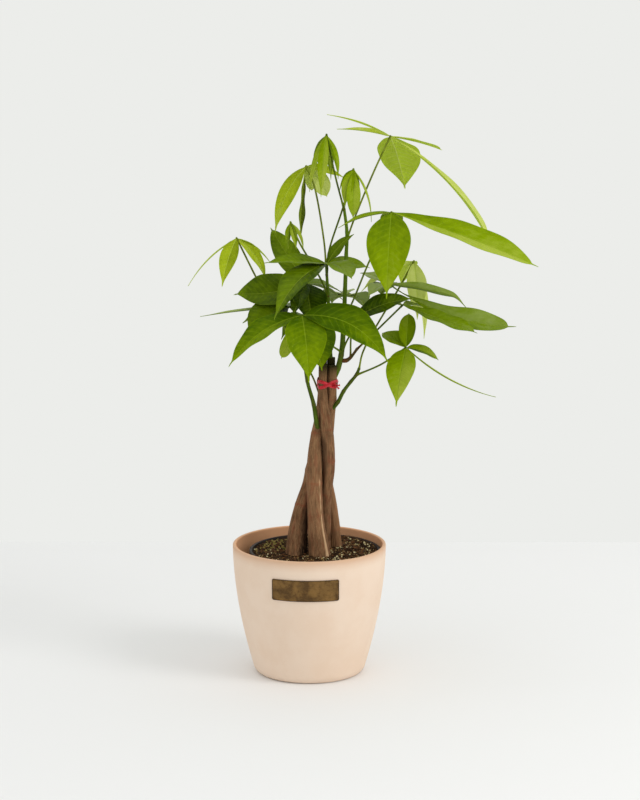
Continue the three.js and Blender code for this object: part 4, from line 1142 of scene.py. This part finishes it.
def trunk(name):
    """One stem of the braid: a fine tube with ridges, knots at its leaf scars and a flared foot."""
    route = smooth_route(TRUNKS[name], 14)
    seed = 7.0 * sorted(TRUNKS).index(name)
    scars = SCARS[name]
    highlit_ridge_way = unit(HIGHLIT_RIDGES[name]) if name in HIGHLIT_RIDGES else None

    def ridge(z, out):
        """How much of the bare ridge line there is at a height, on the side that faces out. Its paleness is partly a
        painted highlight.
        """
        if highlit_ridge_way is None:
            return 0.0
        line = math.exp(-((math.acos(min(float(out @ highlit_ridge_way), 1.0)) / HIGHLIT_RIDGE_WIDTH) ** 2))
        return line * ramp(z, *HIGHLIT_RIDGE_FADE) * (1 - 0.5 * noise.noise(Vector((z * 0.12, seed, 0))))

    def bulge(row, out):
        z = row[2]
        spot = Vector((out[0] * 2.2 + seed, out[1] * 2.2, z * 0.028))
        broad = noise.noise(spot) * 0.5
        strands = noise.noise(Vector((out[0] * 7 + seed, out[1] * 7, z * 0.035))) * 0.32
        knot = sum(0.38 * math.exp(-(((z - scar) / 1.7) ** 2)) for scar in scars)
        flare = 0.9 * math.exp(-max(z - SOIL_LEVEL, 0) / 5) * (0.5 + noise.noise(spot * 1.7))
        return broad + strands + knot * (0.6 + 0.4 * noise.noise(spot * 2)) + flare + 0.5 * ridge(z, out)

    points, places = tube(route, BARK_SIDES, bulge)
    height = np.repeat(route[:, 2], BARK_SIDES)
    scar = np.zeros(len(points))
    for z in scars:
        wander = np.array([noise.noise(Vector((p[0] * 0.3, p[1] * 0.3, z))) * 1.6 for p in points])
        around = np.array([0.45 + 1.3 * noise.noise(Vector((p[0] * 0.09, p[1] * 0.09, z * 3))) for p in points])
        scar = np.maximum(scar, np.exp(-(((height + wander - z) / 1.2) ** 2)) * np.clip(around, 0, 0.9))
    # The tops turn dark olive: partly young growth, partly painted shade under the leaves
    youth_and_shade = ramp(height, 322, 336)
    outward = unit(points - np.repeat(route[:, :3], BARK_SIDES, axis=0))
    line = np.array([ridge(z, out) for out, z in zip(outward, height)])
    fibres = np.array([noise.noise(Vector((o[0] * 9, o[1] * 9, z * 0.12))) for o, z in zip(outward, height)])
    shaded = 0.35 * ramp(height, 158, 132) * np.clip(1 - 2.5 * fibres, 0, 1)
    if name in SHADED_FLANKS:
        depth, side, levels = SHADED_FLANKS[name]
        shaded = shaded + depth * ramp(outward[:, 0], *side) * ramp(height, *levels)
    # The lit mark: painted light on each stem's bark, and pale fibres at its foot
    lit = LIT_BARK[name] + 0.5 * ramp(height, 146, 132) * np.clip(3 * fibres, 0, 1)
    # Paler streaks of wear lower down, and along the ridge line a painted highlight
    wear_and_highlight = ramp(height, 176, 126) + 2.1 * line
    heap = Heap()
    heap.add(
        points, tube_faces(len(route), BARK_SIDES), stem_place=places + (seed * 9, 0, 0),
        stem_age=np.column_stack((scar, youth_and_shade, wear_and_highlight)),
        stem_shade=np.column_stack((np.clip(shaded, 0, 1), lit, 0 * lit)),
    )
    heap.piece(name + "_bark", ["bark"], [name], crease=65)


def shoot(name):
    """A young stem, a little swollen where leaves leave it."""
    finish, points = SHOOTS[name]
    route = smooth_route(points, 12)
    seed = 3.0 * sorted(SHOOTS).index(name)
    knots = [p[2] for p in points[1:-1]]

    def bulge(row, out):
        knot = sum(0.24 * math.exp(-(((row[2] - z) / 1.6) ** 2)) for z in knots)
        return knot + 0.14 * noise.noise(Vector((out[0] * 3 + seed, out[1] * 3, row[2] * 0.06)))

    made, places = tube(route, SHOOT_SIDES, bulge)
    height = np.repeat(route[:, 2], SHOOT_SIDES)
    scar = np.zeros(len(made))
    for z in knots:
        scar = np.maximum(scar, 0.8 * np.exp(-(((height - z) / 0.8) ** 2)))
    foot = ramp(height, points[0][2] + 26, points[0][2])
    heap = Heap()
    heap.add(
        made, tube_faces(len(route), SHOOT_SIDES), stem_place=places + (seed * 5, 0, 0),
        stem_age=np.column_stack((scar, ramp(height, 330, 450), foot * 0.4)),
    )
    heap.piece(name + "_stem", [finish], [name], crease=65)


# Twist tie


TIE_ROUTE = [
    (8.2, 0.5), (8.5, -5), (10.7, -9.7), (15.2, -11.3), (20.2, -10.3), (25.2, -8.8), (29.6, -6.2), (31.1, -1.5),
    (30.9, 4), (30, 9.2), (27, 13.4), (22.5, 14.7), (17.3, 13.5), (12.8, 11.9), (9.2, 9), (8.2, 5),
]
TIE_ENDS = [
    [(25.4, -8.4, 318.6), (28.6, -10.2, 316.4), (31.6, -10.6, 312.6)],
    [(25.6, -8.5, 314.6), (28.4, -10.4, 315.8), (32.8, -10.4, 316.6)],
]
TIE_SECTION = [
    (-1.75, 0.1), (-0.75, 0.22), (-0.4, 0.62), (0, 0.76), (0.4, 0.62), (0.75, 0.22), (1.75, 0.1), (1.75, -0.1),
    (0.7, -0.2), (0, -0.5), (-0.7, -0.2), (-1.75, -0.1),
]


def ribbon(route, outward, closed=False):
    """A flat coated wire along a route: thin edges and a round core, its flat side facing outward."""
    tangent = np.gradient(route, axis=0)
    if closed:
        tangent = np.roll(route, -1, axis=0) - np.roll(route, 1, axis=0)
    tangent = unit(tangent)
    out = unit(outward - tangent * np.sum(outward * tangent, axis=1, keepdims=True))
    wide = np.cross(tangent, out)
    points = np.stack([route + wide * w + out * o for w, o in TIE_SECTION], axis=1).reshape(-1, 3)
    return points, tube_faces(len(route), len(TIE_SECTION), closed)


def twist_tie():
    """Two turns that cross twice round the top of the braid, and the two twisted ends."""
    heap = Heap()
    for turn, lift in enumerate(TIE_LIFTS):
        route = []
        for i, spot in enumerate(TIE_ROUTE):
            x, y = TIE_CENTRE[:2] + (np.array(spot) - TIE_CENTRE[:2]) * TIE_SNUG
            route.append((x, y, TIE_LEVEL + TIE_SWING * math.sin(2 * TURN * i / len(TIE_ROUTE) + turn * math.pi)))
        route = smooth_route(route, 10, closed=True)
        outward = unit((route - TIE_CENTRE) * (1, 1, 0))
        heap.add(*ribbon(route + outward * lift, outward, closed=True))
    for points in TIE_ENDS:
        route = smooth_route(points, 10)
        twist = np.linspace(0, 2.5, len(route))
        heap.add(*ribbon(route, np.column_stack((np.sin(twist) * 0.5, -np.cos(twist), np.sin(twist)))))
    heap.piece("twist_tie_wire", ["red_tie"], ["twist_tie"], crease=60)


# Fronds


def outline(share, widest, taper):
    """Half width at a share of the length, as a share of the greatest."""
    value = (share**widest * (1 - share) ** (1 - widest)) ** taper
    return value / (widest**widest * (1 - widest) ** (1 - widest)) ** taper


def blade(hub, shape, rng):
    """One leaflet: two skins on an arched, folded and faintly quilted sheet, closed round its edge. Returns its
    points and faces, and each point's place and kind."""
    tip, face = np.array(shape["tip"], float), np.array(shape["face"], float)
    along = unit(tip - hub)
    root = hub + along * 0.6 * HUB_RADIUS
    chord = tip - root
    length = float(np.linalg.norm(chord))
    control = root + chord / 2 + unit(UP - along * along[2]) * shape["arch"] * length

    # The midrib: s runs from 0 at the hub to 1 at the tip
    rows = int(np.clip(length / 2.0, 28, 80))
    s = np.linspace(0, 1, rows + 1)[:, None]
    centre = (1 - s) ** 2 * root + 2 * s * (1 - s) * control + s * s * tip
    tangent = unit(2 * (1 - s) * (control - root) + 2 * s * (tip - control))
    centre = centre + np.array(shape["hook"]) * ramp(s, HOOK_START, 1) ** 2
    normal = unit(face - tangent * (tangent @ face)[:, None])
    side = np.cross(tangent, normal)

    # The outline: u runs from -1 at one edge to 1 at the other, with points closer together at the midrib
    half = shape["width"] / 2 * outline(np.minimum(s / (1 - DRIP_TIP), 1), shape["widest"], shape["taper"])
    half = np.maximum(half, np.minimum(0.75, shape["width"] * 0.6 * (1 - s)) + 0.15)
    u = np.linspace(-1, 1, 2 * BLADE_COLUMNS + 1)[None, :]
    a = np.abs(u) ** 1.5
    x = half * np.sign(u) * a

    # The relief: fold, waves of the edge and a quilt between the side veins, calmer at both ends
    spacing = max(length / SIDE_VEINS, LEAST_VEIN_SPACING)
    phase = (s * length - VEIN_SLANT * np.abs(x) - VEIN_BEND * x * x) / spacing + rng.uniform(0, 1)
    scale = min(shape["width"] / 30, 1.3)
    calm = ramp(s, 0, 0.12) * ramp(s, 1, 0.9)
    z = half * BLADE_FOLD * rng.uniform(0.85, 1.2) * (1.45 * a - 0.45 * a * a)
    ripple = rng.uniform(1.6, 3.0)
    shift = np.where(u < 0, rng.uniform(0, TURN), rng.uniform(0, TURN))
    z = z + shape["wave"] * WAVE_HEIGHT * scale * a**2.2 * np.sin(TURN * ripple * s + shift) * calm
    z = z - QUILT_DEPTH * scale * np.cos(TURN * phase) * a**0.7 * (1 - a**3) * calm
    thick = BLADE_MIDDLE_THICKNESS + (BLADE_EDGE_THICKNESS - BLADE_MIDDLE_THICKNESS) * a
    rib = RIB_HEIGHT * (1 - 0.8 * s) * np.exp(-((x / RIB_WIDTH) ** 2)) * ramp(s, 0, 0.03)
    groove = GROOVE_DEPTH * (1 - 0.7 * s) * np.exp(-((x / GROOVE_WIDTH) ** 2))
    where = centre[:, None, :] + side[:, None, :] * x[..., None]
    upper, lower = (
        (where + normal[:, None, :] * level[..., None]).reshape(-1, 3)
        for level in (z + thick / 2 - groove, z - thick / 2 - rib)
    )

    first, second = np.broadcast_to(shape["tone"], 2) + rng.uniform(-0.06, 0.06)
    tone = first + (second - first) * ramp(u, -0.2, 0.2)
    place = np.stack(np.broadcast_arrays(x, s, phase), axis=-1).reshape(-1, 3)
    kind = np.stack(np.broadcast_arrays(tone, a, np.ones_like(x)), axis=-1).reshape(-1, 3)
    faces = two_skins(rows, 2 * BLADE_COLUMNS)
    return np.concatenate((upper, lower)), faces, np.tile(place, (2, 1)), np.concatenate((kind, kind * (1, 1, 0)))


def frond(name, seed):
    """A stalk with a swollen foot, the knob at its end and the leaflets that spread from there."""
    finish, stalk, leaflets = FRONDS[name]
    rng = np.random.default_rng(seed)
    heap = Heap()
    hub = np.array(stalk[-1], float)
    route = smooth_route([(*p, STALK_RADIUS) for p in stalk], 10)
    length = np.linalg.norm(np.diff(route[:, :3], axis=0), axis=1).sum()
    up = np.linspace(0, 1, len(route)) * length
    route[:, 3] += 0.75 * np.exp(-up / 4.5) + 0.2 * np.exp(-(length - up) / 3.5)
    points, places = tube(route, STALK_SIDES)
    woody = np.repeat(np.clip(1 - up / WOODY_FOOT.get(name, 3), 0, 0.9), STALK_SIDES)
    kind = np.column_stack((woody, 0 * woody, 0 * woody + 1))
    heap.add(points, tube_faces(len(route), STALK_SIDES), 1, leaf_place=places, leaf_kind=kind)
    corners, faces = ROUGH_BALL
    knob = corners * HUB_RADIUS / 2 * (1 + 0.05 * rng.normal(size=(len(corners), 1))) + hub
    heap.add(knob, faces, 1, leaf_place=corners * 2, leaf_kind=(0, 0, 1))
    for shape in leaflets:
        points, faces, place, kind = blade(hub, shape, rng)
        heap.add(points, faces, leaf_place=place, leaf_kind=kind)
    heap.piece(name + "_leaf", [finish, finish.replace("leaf", "stalk")], [name], crease=55)


# Studio


# The camera looks down by CAMERA_PITCH degrees, straight along y
CAMERA_PLACE = (0.0115, -3.1379, 0.9385)
CAMERA_PITCH = 11.53
CAMERA_LENS = 135

# Corners of the floor, which ends behind the pot, in metres
FLOOR = [(-9, -9, 0), (9, -9, 0), (9, 0.56, 0), (-9, 0.56, 0)]

# Lamps: where each stands and looks, in metres, its width, its watts and its colour
LAMPS = {
    "key": ((2.1, -1.2, 1.9), (0, 0, 0.25), 1.3, 26, (1.0, 0.985, 0.96)),
    "top": ((-0.4, -0.6, 3.0), (0, 0, 0.3), 2.2, 6, (0.97, 0.985, 1.0)),
}


def studio():
    """Camera of the photograph, a pale floor that ends behind the pot, and soft light from the right."""
    scene = bpy.context.scene

    def placed(name, data, place=(0, 0, 0), turn=(0, 0, 0)):
        made = bpy.data.objects.new(name, data)
        made.location = place
        made.rotation_euler = turn
        scene.collection.objects.link(made)
        return made

    camera = bpy.data.cameras.new("camera")
    camera.lens = CAMERA_LENS
    camera.clip_end = 60
    scene.camera = placed("camera", camera, CAMERA_PLACE, (math.radians(90 - CAMERA_PITCH), 0, 0))

    mesh = bpy.data.meshes.new("floor")
    mesh.from_pydata(FLOOR, [], [(0, 1, 2, 3)])
    mesh.materials.append(FINISHES["floor_paint"])
    placed("floor", mesh)

    for name, (place, aim, size, watts, colour) in LAMPS.items():
        lamp = bpy.data.lights.new(name, "AREA")
        lamp.shape = "DISK"
        lamp.size = size
        lamp.energy = watts
        lamp.color = colour
        placed(name, lamp, place, (Vector(aim) - Vector(place)).to_track_quat("-Z", "Y").to_euler())

    world = bpy.data.worlds.new("studio_air")
    world.use_nodes = True
    sky = world.node_tree.nodes["Background"]
    sky.inputs["Color"].default_value = rgb(236, 237, 234)
    sky.inputs["Strength"].default_value = 1.0
    scene.world = world
    scene.view_settings.view_transform = "Standard"


studio()
planter()
name_plate()
nursery_pot()
soil_bed()
scattered("bark_crumbs", "bark_bits", 760, sizes=(1.4, 4.2), thin=0.45, long=0.6, seed=11)
scattered("dark_crumbs", "potting_mix", 700, sizes=(1.0, 3.0), thin=0.8, long=0.8, seed=12, ball=PLAIN_BALL)
scattered("tan_crumbs", "tan_bits", 760, sizes=(0.8, 2.4), thin=0.4, long=0.45, seed=13)
scattered("perlite_grains", "perlite", 230, sizes=(0.8, 2.0), thin=0.8, long=0.85, seed=14, where=right_side)
scattered("moss_tufts", "moss", 300, sizes=(0.8, 2.4), thin=0.7, long=0.7, seed=15, where=on_moss)
for trunk_name in TRUNKS:
    trunk(trunk_name)
for shoot_name in SHOOTS:
    shoot(shoot_name)
twist_tie()
for order, frond_name in enumerate(FRONDS):
    frond(frond_name, 100 + order)

bpy.context.view_layer.update()
